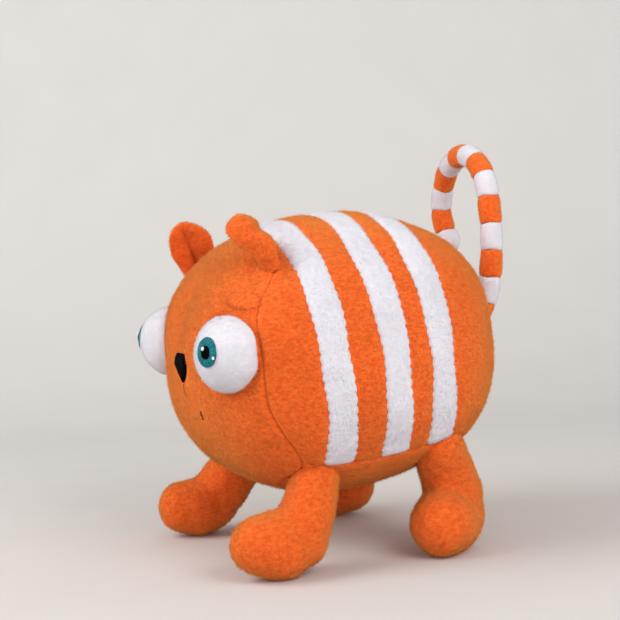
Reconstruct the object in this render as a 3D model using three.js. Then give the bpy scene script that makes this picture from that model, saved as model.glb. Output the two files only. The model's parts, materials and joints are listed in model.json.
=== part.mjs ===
// A stuffed cube cat: a rounded fleece body with an embroidered face, sewn ears and legs and a wired tail.
// Millimetres, +Z up, the face towards -Y, the cat's left side towards +X.
import * as THREE from 'three';
import { mergeVertices } from 'three/addons/utils/BufferGeometryUtils.js';

// Body: a rounded cube with a domed top and a fuller underside, tipped nose down
const BODY_HALF_WIDTH = 43.9;
const BODY_HALF_LENGTH = 43.3;
const BODY_CROWN = 34;
const BODY_DEPTH = 41.9;
const PLAN_SQUARENESS = 2.87;
const CROWN_SQUARENESS = 2.13;
const BELLY_SQUARENESS = 2.75;
const BODY_CENTRE_HEIGHT = 60.5;
const BODY_NOSE_DOWN = 6.5;

// Cloth, seams and clearances
const FLEECE = 1.6;
const SEAM_GAP = 0.3;
const SWING_CLEARANCE = 0.4;

// Panels: angles from the middle of the face, and round the body from the cat's left side
const FACE_SEAM_ANGLE = 47;
const FACE_SEAM_CORNER = 13;
const FACE_SEAM_SHARPNESS = 5;
const BELLY_SEAM_ANGLE = 42;
const SADDLE_STEPS = 20;
const BELLY_STEPS = 8;
const END_PANEL_ROWS = 5;
const SADDLE_ROWS = 9;

// White stripes sewn over the saddle, by where their middles lie along the body
const STRIPE_WIDTH = 8.3;
const STRIPE_THICKNESS = 1.1;
const STRIPE_END_GAP = 2.4;
const STRIPE_BOW = 3.4;
const STRIPE_PLACES = { stripe_front: -15.7, stripe_middle: 0.4, stripe_rear: 14.3 };

// Eyes: stuffed domes with an embroidered iris, pupil and two glints
const EYE_OUT = 26.9;
const EYE_UP = { left: 2.6, right: 4.1 };
const EYE_RADIUS = 10.3;
const EYE_BULGE = 8;
const EYE_FULLNESS = 0.46;
const IRIS_OUT = 1.1;
const IRIS_UP = 1.2;
const IRIS_WIDTH = 7.3;
const IRIS_HEIGHT = 7.8;
const PUPIL_WIDTH = 3.4;
const PUPIL_HEIGHT = 3.8;
const GLINT_UPPER = { side: -0.9, up: 0.8, size: 1.1 };
const GLINT_LOWER = { side: 2.2, up: -1.5, size: 0.9 };
const EMBROIDERY_LIFT = 0.2;
const EMBROIDERY_THICKNESS = 0.4;

// Nose, mouth and brows
const NOSE_WIDTH = 8.3;
const NOSE_HEIGHT = 8.2;
const NOSE_UP = -1.2;
const NOSE_THICKNESS = 0.7;
const NOSE_CORNER = 1.6;
const NOSE_SLOPE = 0.5;
const THREAD_DIAMETER = 0.8;
const PHILTRUM_TOP = -6.4;
const PHILTRUM_LENGTH = 3.8;
const MOUTH_OUT = 8.9;
const MOUTH_TOP = -12.9;
const MOUTH_DROP = 2.6;
const MOUTH_LEAN = 1.2;
const BROW_OUT = 28.6;
const BROW_UP = 15.6;
const BROW_LENGTH = 11;
const BROW_HEIGHT = 4.6;
const BROW_TILT = 12;
const BROW_THICKNESS = 0.8;

// Ears: two layers each, folded lengthwise so that they open forwards and inwards
const EAR_OUT = 28.5;
const EAR_BACK = -25.2;
const EAR_WIDTH = 12.8;
const EAR_HEIGHT = 15.6;
const EAR_BASE_SHARE = 0.58;
const EAR_WIDEST = 0.55;
const EAR_FOLD = 6;
const EAR_FOLD_AHEAD = 2.5;
const EAR_LAYER = 2;
const EAR_SLANT = 12;
const EAR_SPLAY = -66;
const EAR_FORWARD_LEAN = 25;
const EAR_SWING = 15;

// Legs: a short shank on a long rounded foot
const SHANK_DEPTH = 14.2;
const SHANK_WIDTH = 14.4;
const FOOT_LENGTH = 30;
const FOOT_HEIGHT = 18.2;
const FOOT_WIDTH = 18;
const FOOT_SQUARENESS = 2.5;
const ANKLE_FORWARD = 1.5;
const SOLE_CUT = 0.5;
const SOLE_LENGTH = 8.5;
const LEG_SWING = 12;
const LEGS = {
  leg_front_left: { side: 1, hipOut: 28, hipBack: -20, footOut: 30.4, footBack: -27.6, turnOut: 4 },
  leg_front_right: { side: -1, hipOut: 28, hipBack: -20, footOut: 32.4, footBack: -27.6, turnOut: 10 },
  leg_rear_left: { side: 1, hipOut: 28, hipBack: 17.5, footOut: 30, footBack: 20.8, turnOut: 45 },
  leg_rear_right: { side: -1, hipOut: 28, hipBack: 17.5, footOut: 36, footBack: 16, turnOut: 30 },
};

// Tail: a wired tube in bands of two colours, which stands up behind and arches over to the cat's right
const TAIL_DIAMETER = 7.4;
const TAIL_BANDS = 14;
const TAIL_FLEECE = 1.3;
const TAIL_FIRST_BAND = 12.2;
const TAIL_STANDING_BAND = 8;
const TAIL_BASE_UP = -3.4;
const TAIL_ROOT = 4.8;
const TAIL_ELBOW_LEFT = 1.2;
const TAIL_ELBOW_BACK = 9.2;
const TAIL_ELBOW_UP = 3.2;
const TAIL_UPRIGHT_FROM = 18;
const TAIL_STAND_OFF = 11.5;
const TAIL_LEFT = 4;
const TAIL_RISE = 33;
const TAIL_ARCH_RADIUS = 17.5;
const TAIL_ARCH_TURN = 5;
const TAIL_TIP_LEFT = 2;
const TAIL_TIP_BACK = 2.2;
const TAIL_TIP_DROP = 12;
const TAIL_BASE_SWING = 15;
const TAIL_LOWER_BANDS = 5;
const TAIL_ARCH_BANDS = 5;
const TAIL_SOCKET_ANGLE = 50;

// How finely the round pieces are divided
const PATCH_SEGMENTS = 14;
const PATCH_ROUNDING = 0.33;
const PATCH_RINGS = 2;
const STITCH_STEPS = 3;
const THREAD_SIDES = 6;
const EYE_SEGMENTS = 14;
const EYE_RINGS = 4;
const EAR_ROWS = 5;
const EAR_COLUMNS = 6;
const LEG_SIDE_STEPS = 6;
const LEG_SOLE_ANGLE = 15;
const SHANK_STEPS = 2;
const FOOT_END_STEPS = 2;
const TAIL_SIDES = 8;
const TAIL_BAND_STEPS = 2;
const TAIL_FRAMES_PER_STEP = 8;
const TAIL_ARCH_POINTS = 8;
const SWING_STEPS = 5;
const HALVINGS = 40;

const radians = THREE.MathUtils.degToRad;
const vec = (x, y, z) => new THREE.Vector3(x, y, z);
const UP = vec(0, 0, 1);

const finish = (color, roughness) => new THREE.MeshStandardMaterial({ color, roughness, metalness: 0 });
const orangeFleece = () => finish(0xe9692c, 0.95);
const whiteFleece = () => finish(0xe9e6ea, 0.95);
const fibreFill = () => finish(0xf4f2ec, 1);
const wrappedWire = () => finish(0xb9b4aa, 0.8);
const thread = (colour) => finish(colour, 0.6);
const TEAL = 0x0d7380;
const BLACK = 0x17151a;
const WHITE = 0xf3f1f2;
const BROWN = 0x4a2415;

function named(name, geometry, material) {
  const mesh = new THREE.Mesh(geometry, material);
  mesh.name = name;
  return mesh;
}

// Closed skins from grids of points

function closedGeometry(quads) {
  const triangles = [];
  for (const [a, b, c, d] of quads) {
    for (const corners of [[a, b, c], [a, c, d]]) {
      const [p, q, r] = corners;
      const distinct = p.distanceTo(q) > 1e-4 && q.distanceTo(r) > 1e-4 && r.distanceTo(p) > 1e-4;
      if (distinct) triangles.push(corners);
    }
  }
  const volume = triangles.reduce((sum, [p, q, r]) => sum + p.dot(q.clone().cross(r)), 0);
  const outwards = triangles.map(([p, q, r]) => (volume > 0 ? [p, q, r] : [p, r, q]));
  const geometry = new THREE.BufferGeometry().setFromPoints(outwards.flat());
  const welded = mergeVertices(geometry, 1e-4);
  welded.computeVertexNormals();
  return welded;
}

function gridQuads(grid) {
  const quads = [];
  for (let row = 0; row + 1 < grid.length; row += 1) {
    for (let column = 0; column + 1 < grid[row].length; column += 1) {
      const [here, next] = [grid[row], grid[row + 1]];
      quads.push([here[column], here[column + 1], next[column + 1], next[column]]);
    }
  }
  return quads;
}

const turned = ([a, b, c, d]) => [a, d, c, b];

function rimQuads(outer, inner) {
  return outer.slice(1).map((point, i) => [outer[i], inner[i], inner[i + 1], point]);
}

// An outer and an inner grid joined along their rims; a grid that wraps has no side rims.
function shell(outer, inner, wraps) {
  const last = outer.length - 1;
  const end = outer[0].length - 1;
  const quads = [...gridQuads(outer)];
  quads.push(...gridQuads(inner).map(turned));
  quads.push(...rimQuads(outer[0], inner[0]));
  quads.push(...rimQuads(outer[last], inner[last]).map(turned));
  if (!wraps) {
    const side = (grid, column) => grid.map((row) => row[column]);
    quads.push(...rimQuads(side(outer, 0), side(inner, 0)).map(turned));
    quads.push(...rimQuads(side(outer, end), side(inner, end)));
  }
  return closedGeometry(quads);
}

// A stack of rings closed at both ends by a point
function ringSolid(start, rings, finish) {
  const grid = [rings[0].map(() => start), ...rings, rings[0].map(() => finish)];
  return closedGeometry(gridQuads(grid));
}

function steps(count, from = 0, to = 1) {
  return Array.from({ length: count + 1 }, (_, i) => from + ((to - from) * i) / count);
}

function circle(count) {
  return steps(count, 0, 2 * Math.PI);
}

// The body's surface, in the body's own frame

function bodyMeasure(p) {
  const across = Math.abs(p.x / BODY_HALF_WIDTH) ** PLAN_SQUARENESS;
  const along = Math.abs(p.y / BODY_HALF_LENGTH) ** PLAN_SQUARENESS;
  const plan = (across + along) ** (1 / PLAN_SQUARENESS);
  const [height, squareness] = p.z >= 0 ? [BODY_CROWN, CROWN_SQUARENESS] : [BODY_DEPTH, BELLY_SQUARENESS];
  return (plan ** squareness + Math.abs(p.z / height) ** squareness) ** (1 / squareness);
}

function bodySlope(p) {
  const h = 0.01;
  const beside = (axis, offset) => bodyMeasure(p.clone().addScaledVector(axis, offset));
  const along = (axis) => (beside(axis, h) - beside(axis, -h)) / (2 * h);
  return vec(along(vec(1, 0, 0)), along(vec(0, 1, 0)), along(UP));
}

const bodyNormal = (p) => bodySlope(p).normalize();

// The point of the surface in line with p and the body's middle, raised along the surface's normal
function onBody(p, lift) {
  const surface = p.clone().divideScalar(bodyMeasure(p));
  return surface.clone().addScaledVector(bodyNormal(surface), lift);
}

function bodyAt(fromFace, round, lift) {
  const sine = Math.sin(fromFace);
  return onBody(vec(sine * Math.cos(round), -Math.cos(fromFace), sine * Math.sin(round)), lift);
}

// Where a line along one axis leaves the body, above, below or in front of its middle
function bodyAlong(axis, sign, p) {
  const probe = p.clone();
  let [near, far] = [0, 2 * (BODY_HALF_WIDTH + BODY_HALF_LENGTH)];
  for (let i = 0; i < HALVINGS; i += 1) {
    const middle = (near + far) / 2;
    probe[axis] = sign * middle;
    if (bodyMeasure(probe) < 1) near = middle;
    else far = middle;
  }
  probe[axis] = sign * near;
  return probe;
}

const torso = new THREE.Group();
torso.rotation.x = radians(BODY_NOSE_DOWN);
torso.position.set(0, 0, BODY_CENTRE_HEIGHT);
torso.updateMatrixWorld();
const toCat = (p) => p.clone().applyMatrix4(torso.matrixWorld);
const toBody = (p) => p.clone().applyMatrix4(torso.matrixWorld.clone().invert());
const turnToCat = (d) => d.clone().transformDirection(torso.matrixWorld);

// Clear distance from the body of a point that swings on a hinge, at its least over the swing
function swingingGap(p, hinge) {
  const gaps = steps(SWING_STEPS - 1, -1, 1).map((share) => {
    const arm = p.clone().sub(hinge.place).applyAxisAngle(hinge.axis, share * radians(hinge.swing));
    const inBody = toBody(arm.add(hinge.place));
    return (bodyMeasure(inBody) - 1) / bodySlope(inBody).length();
  });
  return Math.min(...gaps);
}

// Slides a point along a limb until it just clears the body over the whole swing
function seat(p, outwards, hinge) {
  let [inside, outside] = [-FOOT_HEIGHT, FOOT_HEIGHT];
  for (let i = 0; i < HALVINGS; i += 1) {
    const middle = (inside + outside) / 2;
    const gap = swingingGap(p.clone().addScaledVector(outwards, middle), hinge);
    if (gap < SWING_CLEARANCE) inside = middle;
    else outside = middle;
  }
  return p.clone().addScaledVector(outwards, outside);
}

// Body panels and filling

function faceSeam(round) {
  const corner = Math.abs(Math.sin(2 * round)) ** FACE_SEAM_SHARPNESS;
  return radians(FACE_SEAM_ANGLE + FACE_SEAM_CORNER * corner);
}

const HALF_SEAM = SEAM_GAP / 2 / BODY_HALF_WIDTH;
const BELLY_RIGHT = Math.PI + radians(BELLY_SEAM_ANGLE);
const BELLY_LEFT = -radians(BELLY_SEAM_ANGLE);
const saddleRound = steps(SADDLE_STEPS, BELLY_LEFT, BELLY_RIGHT);
const bellyRound = steps(BELLY_STEPS, BELLY_RIGHT, BELLY_LEFT + 2 * Math.PI);
const wholeRound = [...saddleRound, ...bellyRound.slice(1)];

function narrowed(angles, margin = HALF_SEAM) {
  const inset = [...angles];
  inset[0] += margin;
  inset[inset.length - 1] -= margin;
  return inset;
}

const faceRows = (round) => steps(END_PANEL_ROWS, 0, faceSeam(round) - HALF_SEAM);
const rumpRows = (round) => steps(END_PANEL_ROWS, Math.PI - faceSeam(round) + HALF_SEAM, Math.PI);
const middleFrom = (round) => faceSeam(round) + HALF_SEAM;
const middleRows = (round) => steps(SADDLE_ROWS, middleFrom(round), Math.PI - middleFrom(round));
const fillRows = (round) => [...faceRows(round), ...middleRows(round).slice(1, -1), ...rumpRows(round)];

function bodyGrid(rowsAt, rounds, lift) {
  const columns = rounds.map((round) => rowsAt(round).map((fromFace) => bodyAt(fromFace, round, lift)));
  return columns[0].map((_, row) => columns.map((column) => column[row]));
}

function panel(name, rowsAt, rounds, wraps) {
  const geometry = shell(bodyGrid(rowsAt, rounds, 0), bodyGrid(rowsAt, rounds, -FLEECE), wraps);
  torso.add(named(name, geometry, orangeFleece()));
}

panel('face_panel', faceRows, wholeRound, true);
panel('saddle_panel', middleRows, narrowed(saddleRound), false);
panel('belly_panel', middleRows, narrowed(bellyRound), false);
panel('rump_panel', rumpRows, wholeRound, true);
const fillGrid = bodyGrid(fillRows, wholeRound, -FLEECE - SEAM_GAP);
torso.add(named('body_stuffing', closedGeometry(gridQuads(fillGrid)), fibreFill()));

// Stripes: strips from one belly seam over the top, where they bow backwards, to the other

function stripePoint(round, along, lift) {
  const start = bodyAlong('x', 1, vec(0, along, 0)).x;
  let [low, high] = [0, 2 * (BODY_DEPTH + start)];
  for (let i = 0; i < HALVINGS; i += 1) {
    const middle = (low + high) / 2;
    if (bodyMeasure(vec(middle * Math.cos(round), along, middle * Math.sin(round))) < 1) low = middle;
    else high = middle;
  }
  return onBody(vec(low * Math.cos(round), along, low * Math.sin(round)), lift);
}

for (const [name, middle] of Object.entries(STRIPE_PLACES)) {
  const across = steps(2, -STRIPE_WIDTH / 2, STRIPE_WIDTH / 2);
  const crown = (offset) => (offset === 0 ? STRIPE_THICKNESS : STRIPE_THICKNESS - SEAM_GAP);
  const rounds = narrowed(saddleRound, STRIPE_END_GAP / BODY_HALF_WIDTH);
  const bow = (round) => STRIPE_BOW * Math.max(0, Math.sin(round)) ** 4;
  const strip = (offset, lift) =>
    rounds.map((round) => stripePoint(round, middle + bow(round) + offset, lift));
  const top = across.map((offset) => strip(offset, SEAM_GAP + crown(offset)));
  const underside = across.map((offset) => strip(offset, SEAM_GAP));
  const geometry = shell(top, underside, false);
  torso.add(named(name, geometry, whiteFleece()));
}

// Patches sewn or stitched on a surface: a function of two directions and a height

function facePlace(out, up) {
  const middle = bodyAlong('y', -1, vec(out, 0, up));
  const normal = bodyNormal(middle);
  const side = UP.clone().cross(normal).normalize();
  const rise = normal.clone().cross(side);
  const beside = (u, v) => middle.clone().addScaledVector(side, u).addScaledVector(rise, v);
  const surface = (u, v, lift) => onBody(beside(u, v), lift);
  return { normal, surface };
}

function patch(surface, outline, lift, thickness) {
  const layer = (raised) =>
    steps(PATCH_RINGS).map((share) => {
      const height = raised ? lift + thickness * (1 - PATCH_ROUNDING * share ** 2) : lift;
      return outline.map((p) => surface(p.x * share, p.y * share, height));
    });
  return shell(layer(true), layer(false), true);
}

function oval(width, height, turn = 0) {
  const middle = new THREE.Vector2();
  return circle(PATCH_SEGMENTS).map((angle) => {
    const point = new THREE.Vector2((width / 2) * Math.cos(angle), (height / 2) * Math.sin(angle));
    return point.rotateAround(middle, turn);
  });
}

function shifted(surface, u, v) {
  return (du, dv, lift) => surface(u + du, v + dv, lift);
}

// Eyes

function eyeDome(place, inset, u, v) {
  const share = Math.min(1, Math.hypot(u, v) / (EYE_RADIUS - inset));
  const height = (EYE_BULGE - inset) * (1 - share ** 2) ** EYE_FULLNESS;
  return place.surface(u, v, SEAM_GAP).addScaledVector(place.normal, height);
}

function eyeGrid(place, inset) {
  const radius = EYE_RADIUS - inset;
  return steps(EYE_RINGS).map((step) => {
    const share = Math.sin((step * Math.PI) / 2);
    return circle(EYE_SEGMENTS).map((angle) =>
      eyeDome(place, inset, radius * share * Math.cos(angle), radius * share * Math.sin(angle)),
    );
  });
}

function eyeSurface(place) {
  const h = 0.05;
  return (u, v, lift) => {
    const point = eyeDome(place, 0, u, v);
    const alongU = eyeDome(place, 0, u + h, v).sub(eyeDome(place, 0, u - h, v));
    const alongV = eyeDome(place, 0, u, v + h).sub(eyeDome(place, 0, u, v - h));
    return point.addScaledVector(alongU.cross(alongV).normalize(), lift);
  };
}

for (const [sideName, side] of [['left', 1], ['right', -1]]) {
  const place = facePlace(side * EYE_OUT, EYE_UP[sideName]);
  const cover = shell(eyeGrid(place, 0), eyeGrid(place, FLEECE), true);
  torso.add(named(`eye_${sideName}_cover`, cover, whiteFleece()));
  const fill = eyeGrid(place, FLEECE + SEAM_GAP);
  const radius = EYE_RADIUS - FLEECE - SEAM_GAP;
  const floor = steps(1).map((share) =>
    circle(EYE_SEGMENTS).map((angle) =>
      place.surface(radius * share * Math.cos(angle), radius * share * Math.sin(angle), SEAM_GAP),
    ),
  );
  const fillSkin = closedGeometry([...gridQuads(fill), ...gridQuads(floor).map(turned)]);
  torso.add(named(`eye_${sideName}_stuffing`, fillSkin, fibreFill()));
  const dome = eyeSurface(place);
  const [irisAt, irisUp] = [side * IRIS_OUT, IRIS_UP];
  const layer = EMBROIDERY_LIFT + EMBROIDERY_THICKNESS;
  const stitched = (name, colour, outline, u, v, level) => {
    const surface = shifted(dome, irisAt + side * u, irisUp + v);
    const lift = EMBROIDERY_LIFT + level * layer;
    torso.add(named(name, patch(surface, outline, lift, EMBROIDERY_THICKNESS), thread(colour)));
  };
  stitched(`iris_${sideName}`, TEAL, oval(IRIS_WIDTH, IRIS_HEIGHT), 0, 0, 0);
  stitched(`pupil_${sideName}`, BLACK, oval(PUPIL_WIDTH, PUPIL_HEIGHT), 0, 0, 1);
  const { size: large, side: upperAt, up: upperUp } = GLINT_UPPER;
  stitched(`glint_${sideName}_upper`, WHITE, oval(large, large), upperAt, upperUp, 2);
  const { size: small, side: lowerAt, up: lowerUp } = GLINT_LOWER;
  stitched(`glint_${sideName}_lower`, WHITE, oval(small, small), lowerAt, lowerUp, 1);
}

// Nose, mouth and brows

const noseOutline = new THREE.Shape();
const noseHalf = NOSE_WIDTH / 2;
const noseTop = NOSE_HEIGHT / 2;
noseOutline.moveTo(NOSE_CORNER - noseHalf, noseTop);
noseOutline.lineTo(noseHalf - NOSE_CORNER, noseTop);
noseOutline.quadraticCurveTo(noseHalf, noseTop, noseHalf - NOSE_SLOPE, noseTop - NOSE_CORNER);
noseOutline.quadraticCurveTo(NOSE_CORNER, -noseTop, 0, -noseTop);
noseOutline.quadraticCurveTo(-NOSE_CORNER, -noseTop, NOSE_SLOPE - noseHalf, noseTop - NOSE_CORNER);
noseOutline.quadraticCurveTo(-noseHalf, noseTop, NOSE_CORNER - noseHalf, noseTop);
const noseEdge = noseOutline.getSpacedPoints(PATCH_SEGMENTS);
const noseSkin = patch(facePlace(0, NOSE_UP).surface, noseEdge, SEAM_GAP, NOSE_THICKNESS);
torso.add(named('nose', noseSkin, thread(BLACK)));

function stitch(name, colour, ends) {
  const lift = SEAM_GAP + THREAD_DIAMETER / 2;
  const [from, to] = ends;
  const points = steps(STITCH_STEPS).map((share) => {
    const [out, up] = [0, 1].map((i) => from[i] + (to[i] - from[i]) * share);
    return onBody(bodyAlong('y', -1, vec(out, 0, up)), lift);
  });
  const section = new THREE.Shape().absarc(0, 0, THREAD_DIAMETER / 2, 0, 2 * Math.PI);
  const path = new THREE.CatmullRomCurve3(points);
  const geometry = new THREE.ExtrudeGeometry(section, {
    steps: points.length,
    curveSegments: THREAD_SIDES,
    bevelEnabled: false,
    extrudePath: path,
  });
  torso.add(named(name, geometry, thread(colour)));
}

stitch('philtrum_stitch', BROWN, [[0, PHILTRUM_TOP], [0, PHILTRUM_TOP - PHILTRUM_LENGTH]]);
for (const [sideName, side] of [['left', 1], ['right', -1]]) {
  const top = [side * MOUTH_OUT, MOUTH_TOP];
  const low = [side * (MOUTH_OUT - MOUTH_LEAN), MOUTH_TOP - MOUTH_DROP];
  stitch(`mouth_stitch_${sideName}`, BROWN, [top, low]);
  const brow = oval(BROW_LENGTH, BROW_HEIGHT, -side * radians(BROW_TILT));
  const browSkin = patch(facePlace(side * BROW_OUT, BROW_UP).surface, brow, SEAM_GAP, BROW_THICKNESS);
  torso.add(named(`brow_${sideName}`, browSkin, orangeFleece()));
}

const cat = new THREE.Group();
cat.add(torso);

// A limb's group stands at its hinge, so that it can turn there
function limb(parent, hinge) {
  const group = new THREE.Group();
  group.position.copy(parent.worldToLocal(hinge.place.clone()));
  parent.add(group);
  group.updateMatrixWorld();
  return group;
}

function addToLimb(group, name, geometry, material) {
  const place = group.getWorldPosition(vec(0, 0, 0));
  geometry.translate(-place.x, -place.y, -place.z);
  group.add(named(name, geometry, material));
}

// Ears

function earShare(height) {
  const beyond = (height - EAR_WIDEST) / (1 - EAR_WIDEST);
  if (beyond > 0) return Math.sqrt(Math.max(0, 1 - beyond ** 2));
  return EAR_BASE_SHARE + (1 - EAR_BASE_SHARE) * Math.sin(((height / EAR_WIDEST) * Math.PI) / 2);
}

for (const [sideName, side] of [['left', 1], ['right', -1]]) {
  const base = toCat(bodyAlong('z', 1, vec(side * EAR_OUT, EAR_BACK, 0)));
  const level = vec(Math.cos(radians(EAR_SPLAY)), side * Math.sin(radians(EAR_SPLAY)), 0);
  const axis = level.clone().addScaledVector(UP, -side * Math.tan(radians(EAR_SLANT))).normalize();
  const lean = level.clone().cross(UP).normalize().multiplyScalar(Math.tan(radians(EAR_FORWARD_LEAN)));
  const rise = UP.clone().add(lean).addScaledVector(axis, -UP.dot(axis)).normalize();
  const front = axis.clone().cross(rise).normalize();
  const hinge = { place: base, axis, swing: EAR_SWING };
  const sheet = (height, across, depth) => {
    const half = (EAR_WIDTH / 2) * earShare(height);
    const fold = (EAR_FOLD_AHEAD + EAR_FOLD * (across ** 2 - 1)) * earShare(height);
    const tilt = (2 * EAR_FOLD * across * depth) / EAR_WIDTH;
    return base.clone()
      .addScaledVector(rise, EAR_HEIGHT * height)
      .addScaledVector(axis, half * across - tilt * earShare(height))
      .addScaledVector(front, fold + depth);
  };
  const layer = (depth) => {
    const columns = steps(EAR_COLUMNS, -1, 1);
    const seats = columns.map((across) => {
      const foot = sheet(0, across, depth);
      return seat(foot, rise, hinge).sub(foot).dot(rise);
    });
    return steps(EAR_ROWS).map((row) => {
      const height = Math.sin((row * Math.PI) / 2);
      const raised = (across, column) =>
        sheet(height, across, depth).addScaledVector(rise, seats[column] * (1 - height));
      return columns.map(raised);
    });
  };
  const group = limb(cat, hinge);
  const middle = SEAM_GAP / 2;
  const frontLayer = shell(layer(middle + EAR_LAYER), layer(middle), false);
  const backLayer = shell(layer(-middle), layer(-middle - EAR_LAYER), false);
  addToLimb(group, `ear_${sideName}_front`, frontLayer, orangeFleece());
  addToLimb(group, `ear_${sideName}_back`, backLayer, orangeFleece());
}

// Legs

const footPower = (value) => Math.sign(value) * Math.abs(value) ** (2 / FOOT_SQUARENESS);

// Rings of a leg from hip to toe; inset is how far the skin lies inside the outer surface.
function legRings(leg, hinge, angles, inset) {
  const heading = vec(leg.side * Math.sin(radians(leg.turnOut)), -Math.cos(radians(leg.turnOut)), 0);
  const across = heading.clone().cross(UP).multiplyScalar(-leg.side);
  const foot = vec(leg.side * leg.footOut, leg.footBack, FOOT_HEIGHT / 2 - SOLE_CUT);
  const [length, height, width] = [FOOT_LENGTH, FOOT_HEIGHT, FOOT_WIDTH].map((size) => size / 2 - inset);
  const outline = (angle) =>
    foot.clone()
      .addScaledVector(heading, length * footPower(Math.cos(angle)))
      .addScaledVector(UP, height * footPower(Math.sin(angle)));
  const halfWidth = (p) => {
    const share = Math.min(1, Math.abs(p.clone().sub(foot).dot(heading)) / length);
    return width * (1 - share ** FOOT_SQUARENESS) ** (1 / FOOT_SQUARENESS);
  };
  const crease = Math.acos((2 * ANKLE_FORWARD) / FOOT_LENGTH);
  const heel = Math.acos((SOLE_LENGTH / FOOT_LENGTH) ** (FOOT_SQUARENESS / 2));
  const underside = [
    ...steps(FOOT_END_STEPS, Math.PI, Math.PI + heel),
    ...steps(FOOT_END_STEPS, 2 * Math.PI - heel, 2 * Math.PI),
  ];
  const profile = underside.map((angle, index) => {
    const top = outline(crease * (1 - index / (underside.length - 1)));
    const under = outline(angle);
    const middle = top.clone().add(under).multiplyScalar(0.5);
    return { middle, upper: top.sub(middle), half: halfWidth(middle) };
  });
  const ankle = profile[0];
  const shank = hinge.place.clone().sub(ankle.middle).normalize();
  const shankFront = heading.clone().addScaledVector(shank, -heading.dot(shank)).normalize();
  const shankAt = (share) => ({
    middle: hinge.place.clone().lerp(ankle.middle, share),
    upper: shankFront.clone().multiplyScalar(SHANK_DEPTH / 2 - inset).lerp(ankle.upper, share),
    half: THREE.MathUtils.lerp(SHANK_WIDTH / 2 - inset, ankle.half, share),
  });
  const shankRings = steps(SHANK_STEPS).slice(0, -1).map(shankAt);
  const rings = [...shankRings, ...profile].map(({ middle, upper, half }, index) =>
    angles.map((angle) => {
      const point = middle.clone()
        .addScaledVector(upper, Math.cos(angle))
        .addScaledVector(across, half * Math.sin(angle));
      if (index === 0) return seat(point, shank.clone().negate(), hinge);
      return point.setZ(Math.max(inset, point.z));
    }),
  );
  return { rings, across, top: seat(hinge.place, shank.clone().negate(), hinge) };
}

const HALF_ROUND = [...steps(LEG_SIDE_STEPS - 1, 0, Math.PI - radians(LEG_SOLE_ANGLE)), Math.PI];

const otherHalf = HALF_ROUND.slice(0, -1).reverse();
const WHOLE_ROUND = [...HALF_ROUND, ...otherHalf.map((angle) => 2 * Math.PI - angle)];

for (const [name, leg] of Object.entries(LEGS)) {
  const hip = bodyAlong('z', -1, vec(leg.side * leg.hipOut, leg.hipBack, 0));
  const hinge = { place: toCat(hip), axis: vec(1, 0, 0), swing: LEG_SWING };
  const group = limb(cat, hinge);
  for (const [half, sign] of [['outer', 1], ['inner', -1]]) {
    const angles = HALF_ROUND.map((angle) => sign * angle);
    const outer = legRings(leg, hinge, angles, 0);
    const inner = legRings(leg, hinge, angles, FLEECE);
    const geometry = shell(outer.rings, inner.rings, false);
    const apart = outer.across.clone().multiplyScalar((sign * SEAM_GAP) / 2);
    geometry.translate(apart.x, apart.y, apart.z);
    addToLimb(group, `${name}_${half}`, geometry, orangeFleece());
  }
  const fill = legRings(leg, hinge, WHOLE_ROUND, FLEECE + SEAM_GAP);
  const toe = fill.rings[fill.rings.length - 1][0];
  const filling = ringSolid(fill.top, fill.rings.slice(0, -1), toe);
  addToLimb(group, `${name}_stuffing`, filling, fibreFill());
}

// Tail

const tailBase = toCat(bodyAlong('y', 1, vec(0, 0, TAIL_BASE_UP)));
const tailOut = turnToCat(bodyNormal(toBody(tailBase)));
const archHeading = vec(-Math.cos(radians(TAIL_ARCH_TURN)), Math.sin(radians(TAIL_ARCH_TURN)), 0);
const archFoot = tailBase.clone().add(vec(TAIL_LEFT, TAIL_STAND_OFF, TAIL_RISE));
const archMiddle = archFoot.clone().addScaledVector(archHeading, TAIL_ARCH_RADIUS);
const archEnd = archMiddle.clone().addScaledVector(archHeading, TAIL_ARCH_RADIUS);
const tailRoute = new THREE.CatmullRomCurve3(
  [
    tailBase.clone().addScaledVector(tailOut, -TAIL_DIAMETER / 2),
    tailBase.clone().addScaledVector(tailOut, TAIL_ROOT),
    tailBase.clone().add(vec(TAIL_ELBOW_LEFT, TAIL_ELBOW_BACK, TAIL_ELBOW_UP)),
    tailBase.clone().add(vec(TAIL_LEFT, TAIL_STAND_OFF, TAIL_UPRIGHT_FROM)),
    ...steps(TAIL_ARCH_POINTS, 0, Math.PI).map((angle) =>
      archMiddle.clone()
        .addScaledVector(archHeading, -TAIL_ARCH_RADIUS * Math.cos(angle))
        .addScaledVector(UP, TAIL_ARCH_RADIUS * Math.sin(angle)),
    ),
    archEnd.clone().add(vec(TAIL_TIP_LEFT, TAIL_TIP_BACK, -TAIL_TIP_DROP)),
  ],
  false,
  'centripetal',
);
const TAIL_FRAMES = TAIL_BANDS * TAIL_BAND_STEPS * TAIL_FRAMES_PER_STEP;
const tailFrames = tailRoute.computeFrenetFrames(TAIL_FRAMES, false);
const tailLength = tailRoute.getLength();
const tailStart = TAIL_DIAMETER / 2;
const standingEnd = tailStart + TAIL_FIRST_BAND + (TAIL_LOWER_BANDS - 1) * TAIL_STANDING_BAND;
const archedBand = (tailLength - standingEnd) / (TAIL_BANDS - TAIL_LOWER_BANDS);

// How far along the route a band ends; the first is longer, and those of the standing stretch are alike.
function bandEnd(band) {
  if (band <= 1) return tailStart + band * TAIL_FIRST_BAND;
  if (band <= TAIL_LOWER_BANDS) return tailStart + TAIL_FIRST_BAND + (band - 1) * TAIL_STANDING_BAND;
  return standingEnd + (band - TAIL_LOWER_BANDS) * archedBand;
}

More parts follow.
